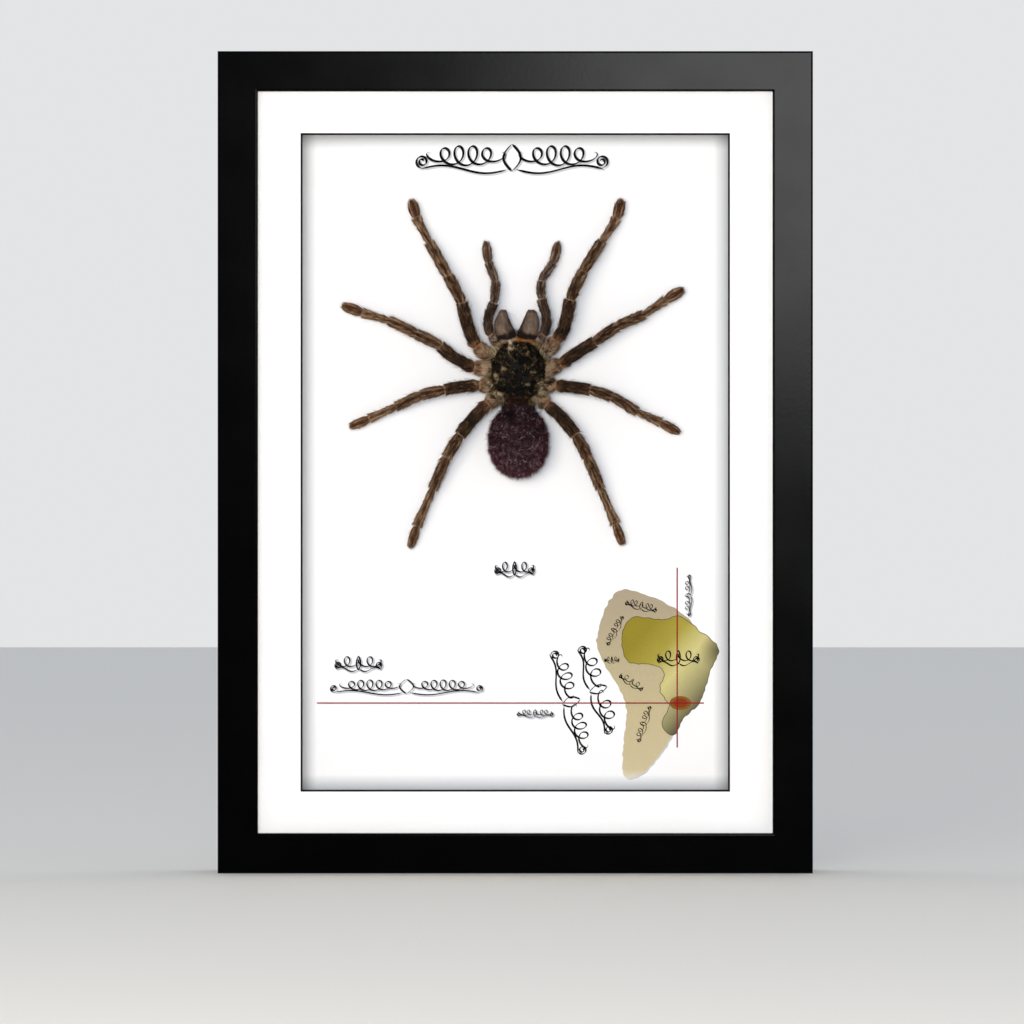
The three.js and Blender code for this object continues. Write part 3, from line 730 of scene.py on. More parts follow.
def limb_parts(name, look, hair_count):
    """A limb: its cuticle, its short hairs, and a long one for every SHORT_PER_LONG of them. A
    pedipalp's coxa is duller than a leg's."""
    seed = LIMB_SEED + list(LIMBS).index(name)
    rng = np.random.default_rng(seed)
    line = limb_line(LIMBS[name], look.skin_share)
    dull = PALP_DULLER if name.startswith("pedipalp_") else 0.0
    width = look.hair_width / MM
    short = limb_hairs(line, hair_count, False, width, seed, dull, rng)
    sparse = limb_hairs(line, hair_count // SHORT_PER_LONG, True, width, seed, dull, rng)
    return [limb_skin(line, seed, dull), short, sparse]


# ---- Abdomen ----

ABDOMEN_MIDDLE = (0, -28.2, 9)
ABDOMEN_HALVES = (12.4, 14.8, 8.3)
ABDOMEN_SQUARENESS = 2.15
ABDOMEN_NARROWING = 0.05
SKIN_INSET, WOOL_INSET = 1.0, 1.05  # how far under those halves its skin lies, and its hairs root
FUZZ_HAIRS = 2600
ABDOMEN_SEED = 301


def soften(values, squareness):
    """Sines or cosines of an ellipse as those of a superellipse: sign * |value| ^ (2 / squareness)."""
    return np.sign(values) * np.abs(values) ** (2 / squareness)


def abdomen_points(forward, angle, inset):
    """Points on the abdomen, with their outward directions and their own across, forward and height
    shares. Its section is an ellipse whose size follows a superellipse from end to end, and its
    front is narrowed by ABDOMEN_NARROWING * forward^2. forward runs from -1 to 1, angle is 0 on the
    viewer's side, and inset is how far the surface lies inside the halves."""
    fullness = soften(np.sqrt(np.clip(1 - forward**2, 0, 1)), ABDOMEN_SQUARENESS)
    taper = 1 - ABDOMEN_NARROWING * np.clip(forward, 0, 1) ** 2
    across = np.sin(angle) * fullness * taper
    height = np.cos(angle) * fullness
    ahead = soften(forward, ABDOMEN_SQUARENESS)
    halves = np.array(ABDOMEN_HALVES) - inset
    points = on_card(*ABDOMEN_MIDDLE) + on_card(across * halves[0], ahead * halves[1], height * halves[2])
    out = unit(on_card(across / halves[0], ahead / halves[1], height / halves[2]))
    return points, out, (across, ahead, height)


def abdomen_roots(count, rng):
    """Random roots spread evenly over the abdomen."""
    forward = rng.uniform(-1, 1, count)
    return abdomen_points(forward, turns(count, 1.1, rng), WOOL_INSET)


def wool_shades(shares, points):
    """Tint and rust of the abdomen: plum-black, redder behind and at its sides."""
    _, ahead, height = shares
    wander = mottle(points, 4.0, 5)
    edge = np.clip(1 - height * 1.3, 0, 1)
    tint = 0.27 + 0.06 * wander - 0.14 * np.clip(ahead + 0.1, 0, 1) + 0.06 * np.clip(-ahead, 0, 1)
    rust = 0.08 + 0.5 * edge * np.clip(0.6 - ahead, 0, 1) + 0.05 * wander
    return tint.clip(0, 1), rust.clip(0, 1)


def abdomen_wool(count, width, rng):
    """Short hairs that lean back and curl in whorls about 1 mm across, with paler ones strewn
    between and loose ones that stand further out."""
    root, out, shares = abdomen_roots(count, rng)
    tint, rust = wool_shades(shares, root)
    curl = mottle(root, 0.85, 61)
    tint = tint - 0.13 + rng.normal(0, 0.13, count) + 0.34 * np.tanh(3.0 * curl)
    pale = rng.uniform(size=count) < 0.15
    tint = tint + pale * rng.uniform(0.1, 0.38, count)
    loose = rng.uniform(0, 1, count) < 0.35
    heading = out * (0.5 + 0.5 * loose)[:, None] - FORWARDS * 0.2
    heading = heading + swirl(root, 1.1, 70) * 1.3 + rng.normal(0, 0.35, (count, 3))
    bend = unit(rng.normal(size=(count, 3))) * 0.9 - out * 0.3
    length = rng.uniform(0.75, 1.35, count) * (1 + 0.2 * curl) * (1 + 0.5 * loose)
    root = root + out * (0.2 * pale)[:, None]
    width = width * (1 + 0.15 * pale)
    return strands(root, heading, bend, length, width, tint, rust, rings=2, tip_tint=0.12)


def abdomen_fuzz(width, rng):
    """Long reddish hairs, most of them on the rear: the hindmost half of twice as many roots."""
    root, out, shares = abdomen_roots(FUZZ_HAIRS * 2, rng)
    rear = np.argsort(shares[1] + rng.normal(0, 0.9, len(root)))[:FUZZ_HAIRS]
    root, out, behind = root[rear], out[rear], -shares[1][rear]
    heading = out * 0.8 - FORWARDS * 0.5 + rng.normal(0, 0.3, (FUZZ_HAIRS, 3))
    length = rng.uniform(1.5, 2.9, FUZZ_HAIRS) * (1 + 0.25 * np.clip(behind, 0, 1))
    rust = rng.uniform(0.2, 0.8, FUZZ_HAIRS)
    return strands(root, heading, -out * 0.2, length, width * 0.75, 0.48 + 0 * length, rust)


def abdomen_parts(look):
    """The abdomen: its skin, in rings that crowd towards both ends, under wool and fuzz."""
    rows = 56
    forward = -np.cos(math.pi * (np.arange(rows) + 0.5) / rows)[:, None]
    points, _, shares = abdomen_points(forward, circle(64), SKIN_INSET)
    skin = closed_skin(points, *wool_shades(shares, points))
    rng = np.random.default_rng(ABDOMEN_SEED)
    width = look.hair_width / MM
    return [skin, abdomen_wool(look.body_hairs, width, rng), abdomen_fuzz(width, rng)]


# ---- Chelicerae ----

# From root to tip: how far up each station lies, half its height, and each one's two edges.
CHELICERA_UP = (12.2, 15.4, 17.6, 19.8, 22.0, 23.3, 24.0)
CHELICERA_RISE = (3.9, 4.5, 4.5, 4.2, 3.4, 2.4, 1.2)
CHELICERAE = {
    "chelicera_left": (
        (-8.6, -9.6, -10.0, -9.6, -8.7, -8.0, -7.2), (-0.9, -1.3, -2.2, -3.0, -3.8, -4.2, -4.8),
    ),
    "chelicera_right": (
        (-0.6, -0.2, 0.8, 1.6, 2.5, 3.1, 3.7), (7.4, 8.2, 8.7, 8.7, 8.1, 7.5, 6.6),
    ),
}
CHELICERA_MIDDLE = 5.4  # its height above the card
CHELICERA_SKIN_INSET, CHELICERA_ROOT_INSET = 0.45, 0.52
CHELICERA_SEED = 401
# A chelicera's hairs: kind, number, shortest, longest, lean outwards, share of the full width.
CHELICERA_HAIRS = (
    ("velvet", 5000, 0.7, 1.2, 0.3, 0.8), ("long", 260, 1.5, 2.6, 0.8, 0.35),
    ("crest", 600, 0.6, 2.6, 1.0, 0.9),
)


def smooth_along(place, stations, values):
    """Values at places between stations, by a cubic whose slopes are the mean of its neighbours'."""
    stations, values = np.array(stations, float), np.array(values, float)
    slopes = np.gradient(values, stations)
    k = np.clip(np.searchsorted(stations, place, side="right") - 1, 0, len(stations) - 2)
    span = stations[k + 1] - stations[k]
    s = (place - stations[k]) / span
    return cubic(s, span, values[k], values[k + 1], slopes[k], slopes[k + 1])


def chelicera_points(name, share, angle, inset):
    """Points of a chelicera and their outward directions: at a share of the way from root to tip,
    an ellipse between the two edges, squared off to the power 0.85 of sin and cos."""
    up = CHELICERA_UP[0] + (CHELICERA_UP[-1] - CHELICERA_UP[0]) * share
    left, right = (smooth_along(up, CHELICERA_UP, edge) for edge in CHELICERAE[name])
    rise = smooth_along(up, CHELICERA_UP, CHELICERA_RISE)
    half = (right - left) / 2
    sine, cosine = np.sin(angle), np.cos(angle)
    across = (left + right) / 2 + (half - inset) * soften(sine, 2.35)
    height = CHELICERA_MIDDLE + (rise - inset) * soften(cosine, 2.35)
    out = unit(on_card(sine / half, 0.12 * share**4 + 0 * sine, cosine / rise))
    return on_card(across, up + 0 * across, height), out


def chelicera_shades(points, share, angle, name):
    """A chelicera: grey-brown velvet, near black at its root's crest and its tip, and darker at its flanks,
    most of all on the inner one where the two chelicerae meet: dark hair in part, and in part painted shade.
    """
    inner = np.sin(angle) * (1 if name == "chelicera_left" else -1)
    ragged = mottle(points, 1.2, 29)
    # painted shade in part: the flanks darker
    edge = np.clip((np.abs(np.sin(angle)) - 0.86) / 0.14, 0, 1) * (np.cos(angle) < 0.6)
    crest = np.clip((0.27 + 0.16 * inner + 0.15 * ragged - share) * 2.8, 0, 1)
    streak = mottle(points * (1, 1, 0.25), 0.5, 39)
    # flanks, and most of all the inner flank, darker: partly dark hair and partly painted shade
    tint = 0.57 - 0.45 * crest - 0.14 * edge - 0.22 * np.clip((inner - 0.55) * 2, 0, 1)
    tint = tint + 0.06 * mottle(points, 2.5, 9) + 0.09 * streak - 0.12 * np.clip((share - 0.9) / 0.1, 0, 1)
    rust = 0.06 + 0.06 * mottle(points, 4.0, 19)
    return tint.clip(0, 1), rust.clip(0, 1)


def chelicera_parts(name, look):
    """A chelicera: its skin under short hairs that lie forwards, a few long ones, and a black crest
    that stands at the inner side of its root."""
    rng = np.random.default_rng(CHELICERA_SEED + list(CHELICERAE).index(name))
    share = (1 - np.cos(math.pi * np.linspace(0.02, 1, 40)[:, None])) / 2
    angle = circle(44)[None]
    points, _ = chelicera_points(name, share, angle, CHELICERA_SKIN_INSET)
    parts = [closed_skin(points, *chelicera_shades(points, share, angle, name))]
    inner = 1 if name == "chelicera_left" else -1
    for kind, count, shortest, longest, lean, width in CHELICERA_HAIRS:
        share = rng.uniform(0, 1, count)
        angle = turns(count, 1.1, rng)
        if kind == "crest":
            angle = inner * rng.uniform(-1.1, 1.4, count)
            share = 0.01 + rng.uniform(0, 1, count) * (0.13 + 0.13 * inner * np.sin(angle))
        root, out = chelicera_points(name, share, angle, CHELICERA_ROOT_INSET)
        tint, rust = chelicera_shades(root, share + rng.normal(0, 0.05, count), angle, name)
        heading = FORWARDS + out * lean + rng.normal(0, 0.3 if kind == "crest" else 0.14, (count, 3))
        length = rng.uniform(shortest, longest, count) * np.clip(1.25 - share, 0.45, 1)
        tint = rng.normal(0.05, 0.08, count) if kind == "crest" else tint + rng.normal(0, 0.08, count)
        parts.append(strands(root, heading, -out * 0.12, length, look.hair_width / MM * width, tint, rust))
    return parts


# ---- Cephalothorax ----

CARAPACE_HALVES = (10.9, 12.2)
CARAPACE_SQUARENESS = 2.3
CARAPACE_NARROWING = 0.25
FOVEA = (-0.3, -8.4)
FOVEA_HALVES = (4.6, 0.8)
GROOVE_HEADINGS = (66, 40, 14, -14)  # degrees from the side towards the head, on both sides
EYE_MOUND = (-1.0, 10.3)
# Pale tufts on the carapace: middle, half-sizes and strength. The one at (2.6, 7.2) is a painted sheen:
# lighter hair that stands in for the olive-gold shine on the head's right.
TUFTS = (
    ((-2.9, 8.4), (0.9, 2.6), 2.2), ((-1.7, 7.2), (1.4, 0.8), 1.2), ((-4.4, 6.4), (1.0, 0.9), 0.5),
    ((2.6, 7.2), (2.2, 1.7), 0.48), ((-8.2, -3.4), (1.5, 3.2), 0.48), ((-7.0, -9.4), (2.2, 1.6), 0.5),
    ((8.4, -7.0), (1.9, 4.2), 0.5), ((4.2, -0.6), (2.1, 1.9), 0.38), ((-0.2, -5.2), (2.6, 0.9), 0.34),
    ((-5.4, 0.0), (2.0, 1.1), 0.4), ((6.6, 3.4), (1.4, 1.8), 0.26), ((-6.6, 4.6), (1.4, 1.8), 0.26),
    ((3.4, -6.2), (1.5, 0.8), 0.34),
)
RIM_HEIGHT = 7.4
STERNUM_HEIGHT = 2.2
# The eyes on their mound, in pairs: distance to each side, height up the mound, radius and tint.
# The middle pair is dark, and the last one is pearly.
EYE_PAIRS = (
    (0.5, 0.15, 0.34, 0.0), (1.05, 0.6, 0.28, 0.3), (1.15, -0.15, 0.25, 0.3), (0.75, -0.45, 0.18, 0.7),
)
CARAPACE_HAIRS = 11000
FRINGE_HAIRS = 11000
WAIST_HAIRS = 2200
CEPHALOTHORAX_SEED = 501


def bell(across, up, middle, halves):
    """A rounded hill of height 1: e^-(x^2 + z^2), in shares of its half-sizes."""
    return np.exp(-(((across - middle[0]) / halves[0]) ** 2) - ((up - middle[1]) / halves[1]) ** 2)


def carapace_outline(angle):
    """The carapace's edge, seen from above, at an angle from the right: a superellipse whose front
    is narrowed."""
    across, up = np.cos(angle), np.sin(angle)
    taper = 1 - CARAPACE_NARROWING * np.clip(up, 0, 1) ** 2
    across = soften(across, CARAPACE_SQUARENESS) * CARAPACE_HALVES[0] * taper
    return across, soften(up, CARAPACE_SQUARENESS) * CARAPACE_HALVES[1]


def carapace_height(across, up, share):
    """Height of the carapace. A dome, rim + 3.6 * (1 - share^2.8)^0.7, carries the raised head
    region and the eye mound, and is cut by the fovea and by grooves that run out from it."""
    dome = RIM_HEIGHT + 3.6 * (1 - np.clip(share, 0, 1) ** 2.8) ** 0.7
    head = 1.3 * bell(across, up, (0, 4.2), (5.2, 6.0))
    height = dome + head + 0.8 * bell(across, up, EYE_MOUND, (1.5, 1.1))
    height = height - 1.0 * bell(across, up, FOVEA, FOVEA_HALVES)
    side, ahead = np.abs(across - FOVEA[0]), up - FOVEA[1]
    for heading in np.radians(GROOVE_HEADINGS):
        reach = side * math.cos(heading) + ahead * math.sin(heading)
        offset = side * math.sin(heading) - ahead * math.cos(heading)
        length = 1 / (1 + np.exp(-(reach - 2.0) * 2)) * np.clip((1 - share) * 4, 0, 1)
        height = height - 0.42 * peak(offset, 0.55) * length
    return height


def carapace_shades(across, up, share):
    """The carapace: near black, with tan tufts and a painted olive-gold sheen on the head's right, a fovea
    darkened in its groove, in part as painted shade, and a tan rim, pink at the left of the brow and orange
    at its right."""
    grain = mottle(on_card(across, up, 0 * up), 1.5, 33)
    tint = 0.07 + 0.05 * grain
    for middle, halves, strength in TUFTS:
        tint = tint + strength * bell(across, up, middle, halves) * (0.7 + 0.5 * np.tanh(3 * grain))
    # the fovea's groove darker, in part painted shade
    tint = tint + 0.4 * np.clip((share - 0.93) / 0.07, 0, 1) - 0.3 * bell(across, up, FOVEA, FOVEA_HALVES)
    front = np.clip((share - 0.88) / 0.04, 0, 1) * np.clip((up - 10.8) / 0.8, 0, 1)
    rust = front * np.where(across > -0.8, 0.9, 0.25) + 0.12 * bell(across, up, (0, -12), (6, 1.2))
    return (tint + 0.5 * front).clip(0, 1), rust.clip(0, 1)


def eye_balls():
    """The eight eyes: small balls, round by sin and cos, sunk to half their height in the mound."""
    parts = []
    lift = np.cos(math.pi * (np.arange(8) + 0.5) / 8)[:, None]
    turn = circle(12)
    round_part = np.sqrt(1 - lift**2)
    for aside, up, radius, tint in EYE_PAIRS:
        for across in (-aside, aside):
            x, z = EYE_MOUND[0] + across, EYE_MOUND[1] + up
            base = carapace_height(x, z, math.hypot(x / CARAPACE_HALVES[0], z / CARAPACE_HALVES[1]))
            ring = radius * round_part
            height = base + radius * 0.4 + radius * lift + 0 * turn
            ball = on_card(x + ring * np.cos(turn), z + ring * np.sin(turn), height)
            parts.append(closed_skin(ball, tint, 0.0, EYE_SLOT))
    return parts


def carapace_skin():
    """The carapace and sternum in one closed skin, whose rings run from the middle of the top out
    to the rim and back under, where the height rises as share^4."""
    top = np.sin(np.linspace(0.02, math.pi / 2, 60))
    under = np.linspace(0.97, 0.03, 14)
    angle = circle(128)
    edge = carapace_outline(angle)
    share = np.r_[top, under][:, None]
    across, up = share * edge[0], share * edge[1]
    height = carapace_height(across, up, share)
    below = share[len(top) :]
    height[len(top) :] = STERNUM_HEIGHT + (RIM_HEIGHT - 2.9) * below**4 + 0 * across[len(top) :]
    return closed_skin(on_card(across, up, height), *carapace_shades(across, up, share))


def carapace_fur(width, rng):
    """Hairs that lie on the carapace, away from the fovea, and stand up in its tufts."""
    count = CARAPACE_HAIRS
    share = np.sqrt(rng.uniform(0, 0.99, count))
    turn = rng.uniform(0, 2 * math.pi, count)
    edge = carapace_outline(turn)
    across, up = share * edge[0], share * edge[1]
    height = carapace_height(across, up, share)
    step = 0.1
    slope_x = (carapace_height(across + step, up, share) - height) / step
    slope_z = (carapace_height(across, up + step, share) - height) / step
    out = unit(on_card(-slope_x, -slope_z, 1.0 + 0 * height))
    root = on_card(across, up, height - 0.06)
    outward = unit(on_card(across - FOVEA[0], (up - FOVEA[1]) * 0.6, 0 * up))
    tint, rust = carapace_shades(across, up, share)
    tufted = np.clip((tint - 0.2) * 2.5, 0, 1)
    clump = mottle(root, 1.2, 81)
    heading = outward * 0.8 + out * (0.3 + 0.25 * tufted + 0.1 * clump)[:, None]
    heading = heading + rng.normal(0, 0.28, (count, 3)) + swirl(root, 1.8, 90) * 0.6
    length = rng.uniform(0.7, 1.3, count) + 0.7 * tufted
    strewn = (rng.uniform(size=count) < 0.11) * rng.uniform(0.15, 0.5, count)
    tint = tint + rng.normal(0, 0.08, count) + strewn + 0.18 * np.tanh(2 * clump)
    return strands(root, heading, -out * 0.15, length, width, tint, rust)


def fringe(width, rng):
    """The wild fringe around the carapace's rim, short at the brow, where it is pink at the left
    and orange at the right."""
    count = FRINGE_HAIRS
    turn = rng.uniform(0, 2 * math.pi, count)
    edge = carapace_outline(turn)
    share = rng.uniform(0.93, 1.04, count)
    root = on_card(edge[0] * share, edge[1] * share, RIM_HEIGHT + 0.3 - rng.uniform(0, 2.6, count))
    outward = unit(on_card(edge[0], edge[1] * 0.9, 0 * turn))
    front = np.clip((edge[1] - 9.0) / 1.5, 0, 1)
    rise = rng.normal(0.3, 0.3, count) + 0.45 * (rng.uniform(size=count) < 0.5)
    heading = outward + OUTWARDS * rise[:, None] + swirl(root, 2.2, 120) * 0.7
    heading = heading + rng.normal(0, 0.25, (count, 3))
    length = rng.uniform(2.0, 5.2, count) * (1 - 0.64 * front)
    tint = rng.normal(0.56, 0.17, count) + 0.26 * np.tanh(2 * mottle(root, 1.0, 130)) + 0.1 * front
    rust = 0.02 + front * np.where(edge[0] > -0.8, 0.85, 0.25)
    return strands(root, heading, 0 * root - 0.2 * OUTWARDS, length, width * 0.9, tint, rust)


def waist_parts(width, rng):
    """The pedicel: a short round tube back to the abdomen, under brown hairs."""
    back = np.linspace(-10.5, -15.5, 8)[:, None]
    angle = circle(20)
    tube = on_card(2.6 * np.sin(angle) + 0 * back, back + 0 * angle, 6.5 + 2.2 * np.cos(angle) + 0 * back)
    count = WAIST_HAIRS
    turn = rng.uniform(-1.8, 1.8, count)
    back = rng.uniform(-15.4, -11.2, count)
    out = on_card(np.sin(turn), 0 * turn, np.cos(turn))
    root = on_card(5.6 * np.sin(turn), back, 6.0 + 2.9 * np.cos(turn))
    heading = out * 0.6 - FORWARDS + rng.normal(0, 0.35, (count, 3))
    length = rng.uniform(1.2, 2.4, count)
    tint = rng.normal(0.07, 0.07, count) + (rng.uniform(size=count) < 0.06) * 0.25
    hairs = strands(root, heading, 0 * root, length, width, tint, rng.uniform(0.0, 0.06, count))
    return [closed_skin(tube, 0.04, 0.0), hairs]


def cephalothorax_parts(look):
    """The cephalothorax: its skin, hairs, fringe, waist and eyes."""
    rng = np.random.default_rng(CEPHALOTHORAX_SEED)
    width = look.hair_width / MM
    coats = [carapace_fur(width, rng), fringe(width, rng)]
    return [carapace_skin()] + coats + waist_parts(width, rng) + eye_balls()


# ---- The print on the card ----

CAST_SHIFT = (0.5, -0.5)  # how far a cast lies across and up from what it is cast by
PEN_ANGLE = 40  # degrees
CURVE_STEPS = 14  # between two anchors of the map's outlines
LINE_HALF_WIDTH = 0.27
BORDER_HALF_WIDTH = 0.13
# The print, in millimetres across the frame and up it. Flourishes, which have a cast, and labels,
# which have none: middle, length, height, loops on each side, heading.
FLOURISHES = (
    ((-1.3, 285.0), 77.0, 13.0, 5, 0), ((-0.3, 120.7), 16.0, 7.0, 2, 0),
    ((-62.7, 82.9), 19.0, 7.0, 2, 0), ((-43.5, 73.6), 61.0, 7.0, 6, 0),
    ((7.9, 62.9), 14.5, 3.6, 3, 0), ((69.1, 110.0), 16.5, 3.2, 3, 90),
)
LABELS = (
    ((33.2, 72.4), 37.0, 9.0, 3, -72), ((22.4, 67.4), 43.0, 9.0, 4, -74),
    ((50.4, 105.9), 13.0, 4.0, 3, -14), ((39.6, 96.0), 13.0, 3.6, 3, 62), ((38.6, 84.3), 6.0, 3.0, 2, 0),
    ((46.5, 75.4), 11.0, 3.6, 2, -32), ((51.2, 58.6), 15.0, 3.6, 3, 72), ((65.2, 85.2), 17.0, 7.0, 2, 0),
)
LINES = (((-79.3, 66.9), (75.4, 66.9)), ((64.75, 121.0), (64.75, 49.1)))
COAST = (
    (42.4, 112.2), (52.0, 110.4), (60.5, 106.8), (67.0, 102.6), (73.5, 95.5), (79.0, 88.5), (76.5, 80.0),
    (72.5, 69.0), (65.5, 60.8), (61.5, 52.0), (57.0, 45.5), (50.5, 38.5), (43.5, 38.0), (43.2, 50.0),
    (44.4, 64.0), (41.0, 74.0), (35.5, 82.5), (32.6, 91.0), (34.6, 101.0), (38.0, 108.5),
)
REGION = (
    (42.6, 92.4), (45.6, 100.2), (52.4, 101.2), (59.0, 100.0), (65.0, 101.6), (72.0, 97.2), (81.0, 89.0),
    (77.8, 79.4), (74.0, 67.8), (67.4, 60.8), (63.2, 54.0), (58.6, 58.4), (61.4, 65.8), (57.8, 72.0),
    (59.4, 79.4), (53.6, 82.6), (45.4, 83.4),
)
SPOT = (66.0, 66.9)
SPOT_HALVES = (4.3, 2.8)
SPOT_CORE = 0.66  # size of its darker middle, as a share


def ribbon(path, half_width, low, high):
    """A flat bar of ink along a path of across and up: a four-cornered section, from low to high
    above the card, at half_width to each side of the path."""
    ahead = unit(np.gradient(path, axis=0))
    left = np.stack([-ahead[:, 1], ahead[:, 0]], -1) * np.broadcast_to(half_width, len(path))[:, None]
    corners = [(path - left, low), (path - left, high), (path + left, high), (path + left, low)]
    rings = np.stack([on_card(xy[:, 0], xy[:, 1], height + 0 * xy[:, 0]) for xy, height in corners], 1)
    return closed_skin(rings, 0.0, 0.0)


def plate(outline, low, high):
    """A flat plate of the outline's shape, from low to high above the card."""
    count = len(outline)
    flat = [Vector((x, z, 0)) for x, z in outline]
    top = np.array(tessellate_polygon([flat]))
    points = np.concatenate([on_card(outline[:, 0], outline[:, 1], height) for height in (low, high)])
    here = np.arange(count)
    ahead = np.roll(here, -1)
    halves = (here, ahead, ahead + count), (here, ahead + count, here + count)
    walls = np.concatenate([np.stack(corners, -1) for corners in halves])
    a, b, c = (outline[top[:, i]] for i in range(3))
    turn = np.cross(b - a, c - a)
    top = np.where((turn > 0)[:, None], top, top[:, ::-1])
    area = np.sum(outline[:, 0] * np.roll(outline[:, 1], -1) - outline[:, 1] * np.roll(outline[:, 0], -1))
    if area < 0:
        walls = walls[:, ::-1]
    faces = np.concatenate([top + count, top[:, ::-1], walls])
    zeros = np.zeros(len(points))
    return Part(points, faces, zeros, zeros, SKIN_SLOT)


def pen_stroke(path, thin, thick, low, high):
    """A stroke of a broad pen, held at PEN_ANGLE: its width goes from thin to thick with the sine
    of the angle between the path and the pen, and it runs out to a point at both ends."""
    ahead = np.gradient(path, axis=0)
    turn = np.arctan2(ahead[:, 1], ahead[:, 0]) - math.radians(PEN_ANGLE)
    run = np.linspace(0, 1, len(path))
    ends = np.clip(np.minimum(run, 1 - run) * 14, 0.12, 1)
    return ribbon(path, (thin + (thick - thin) * np.abs(np.sin(turn))) / 2 * ends, low, high)


def flourish_paths(length, height, loops):
    """A pen flourish, the same on both sides of its middle. Each side has a row of loops,
    x = pitch * t - swing * sin, z = height * cos, that swell and fade as a sine; a swash under
    them, z = -sin of the run; a volute at its end, whose radius shrinks as it turns; and one half
    of the lozenge in the middle, x = sin of its height."""
    run = np.linspace(0, 1, 26 * loops)
    phase = 2 * math.pi * loops * run
    swell = 0.35 + 0.65 * np.sin(math.pi * run) ** 0.8
    reach = length * 0.36
    row = np.stack([
        length * 0.06 + reach * run - reach / loops * 0.55 * np.sin(phase),
        height * (0.3 * swell * np.cos(phase) + 0.06),
    ], -1)
    line = np.linspace(0, 1, 40)
    swash = np.stack([
        length * (0.02 + 0.46 * line), height * (-0.36 - 0.12 * np.sin(2 * math.pi * line)),
    ], -1)
    turn = np.linspace(0, 1, 40)
    radius = height * 0.2 * (1 - 0.75 * turn)
    volute = np.stack([
        length * 0.5 - height * 0.2 + radius * np.sin(3.4 * math.pi * turn),
        height * (-0.12) - radius * np.cos(3.4 * math.pi * turn),
    ], -1)
    tick = np.stack([length * 0.045 * np.sin(math.pi * line), height * (0.42 - 0.84 * line)], -1)
    return [half * (side, 1) for side in (-1, 1) for half in (row, swash, volute, tick)]


def turned_to(path, middle, heading):
    """A path turned to a heading in degrees and moved to its middle."""
    cosine, sine = math.cos(math.radians(heading)), math.sin(math.radians(heading))
    return path @ np.array([[cosine, sine], [-sine, cosine]]) + middle


def closed_curve(anchors):
    """A smooth closed curve: cubics between anchors, whose slope at an anchor is half the way from
    the one before to the one after. A waver of 0.3 mm roughens it as a coast."""
    anchors = np.array(anchors, float)
    after = np.roll(anchors, -1, 0)
    slopes = (after - np.roll(anchors, 1, 0)) / 2
    s = (np.arange(CURVE_STEPS) / CURVE_STEPS)[None, :, None]
    ends = [each[:, None] for each in (anchors, after, slopes, np.roll(slopes, -1, 0))]
    curve = cubic(s, 1, *ends).reshape(-1, 2)
    flat = np.column_stack([curve, 0 * curve[:, 0]])
    return curve + 0.3 * swirl(flat, 1.6, 7)[:, :2]


def drawn(rows, low, high, shift=(0, 0), spread=(0, 0)):
    """The pen strokes of some flourishes, from low to high above the card. A taller flourish has a
    broader pen. A cast is shifted, and its thin and thick widths are spread by two amounts."""
    strokes = []
    for middle, length, height, loops, heading in rows:
        thin, thick = 0.03 * height + spread[0], 0.12 + 0.075 * height + spread[1]
        for path in flourish_paths(length, height, loops):
            path = turned_to(path, middle, heading) + np.array(shift)
            strokes.append(pen_stroke(path, thin, thick, low, high))
    return strokes


def print_layers():
    """The print's layers from the card up: name, parts, and which ink. Their tops lie 0.005 to
    0.02 mm apart, on the card's own frame of across and up."""
    turn = circle(48)
    oval = np.stack([np.cos(turn), np.sin(turn)], -1) * SPOT_HALVES
    coast, region = closed_curve(COAST), closed_curve(REGION)
    border = np.concatenate([region, region[:1]])
    strips = [ribbon(np.linspace(a, b, 3), LINE_HALF_WIDTH, 0.03, 0.065) for a, b in LINES]
    return (
        ("printed_shade_wide", drawn(FLOURISHES, 0.0, 0.02, CAST_SHIFT, (0.6, 0.6)), "pale"),
        ("printed_shade", drawn(FLOURISHES, 0.0, 0.03, CAST_SHIFT, (0.1, 0.15)), "shade"),
        ("printed_flourishes", drawn(FLOURISHES, 0.02, 0.05), "ink"),
        ("printed_coast_shade", [plate(coast + np.array(CAST_SHIFT), 0.0, 0.01)], "shade"),
        ("printed_coast", [plate(coast, 0.0, 0.02)], "coast"),
        ("printed_region", [plate(region, 0.01, 0.03)], "region"),
        ("printed_border", [ribbon(border, BORDER_HALF_WIDTH, 0.01, 0.035)], "border"),
        ("printed_spot", [plate(oval + SPOT, 0.02, 0.04)], "spot"),
        ("printed_spot_middle", [plate(oval * SPOT_CORE + SPOT, 0.03, 0.045)], "spot_middle"),
        ("printed_labels", drawn(LABELS, 0.02, 0.06), "ink"),
        ("printed_lines", strips, "line"),
    )


# ---- Operators ----


def dress(names, material):
    """Gives CAD nodes a finish."""
    for name in names:
        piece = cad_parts[name]
        piece.data.materials.clear()
        piece.data.materials.append(material)


def nodes_named(start):
    """The names of the CAD nodes that begin with start."""
    return [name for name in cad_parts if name.startswith(start)]


class SPECIMEN_OT_rails(bpy.types.Operator):
    """Finish the four rails in satin black lacquer"""

    bl_idname = "specimen.rails"
    bl_label = "Rails"

    def execute(self, context):
        dress(nodes_named("rail_"), satin_lacquer(context.scene.specimen_frame))
        return {"FINISHED"}


class SPECIMEN_OT_glass(bpy.types.Operator):
    """Make the pane clear glass"""

    bl_idname = "specimen.glass"
    bl_label = "Glass"

    def execute(self, context):
        dress(["glass_pane"], float_glass())
        return {"FINISHED"}


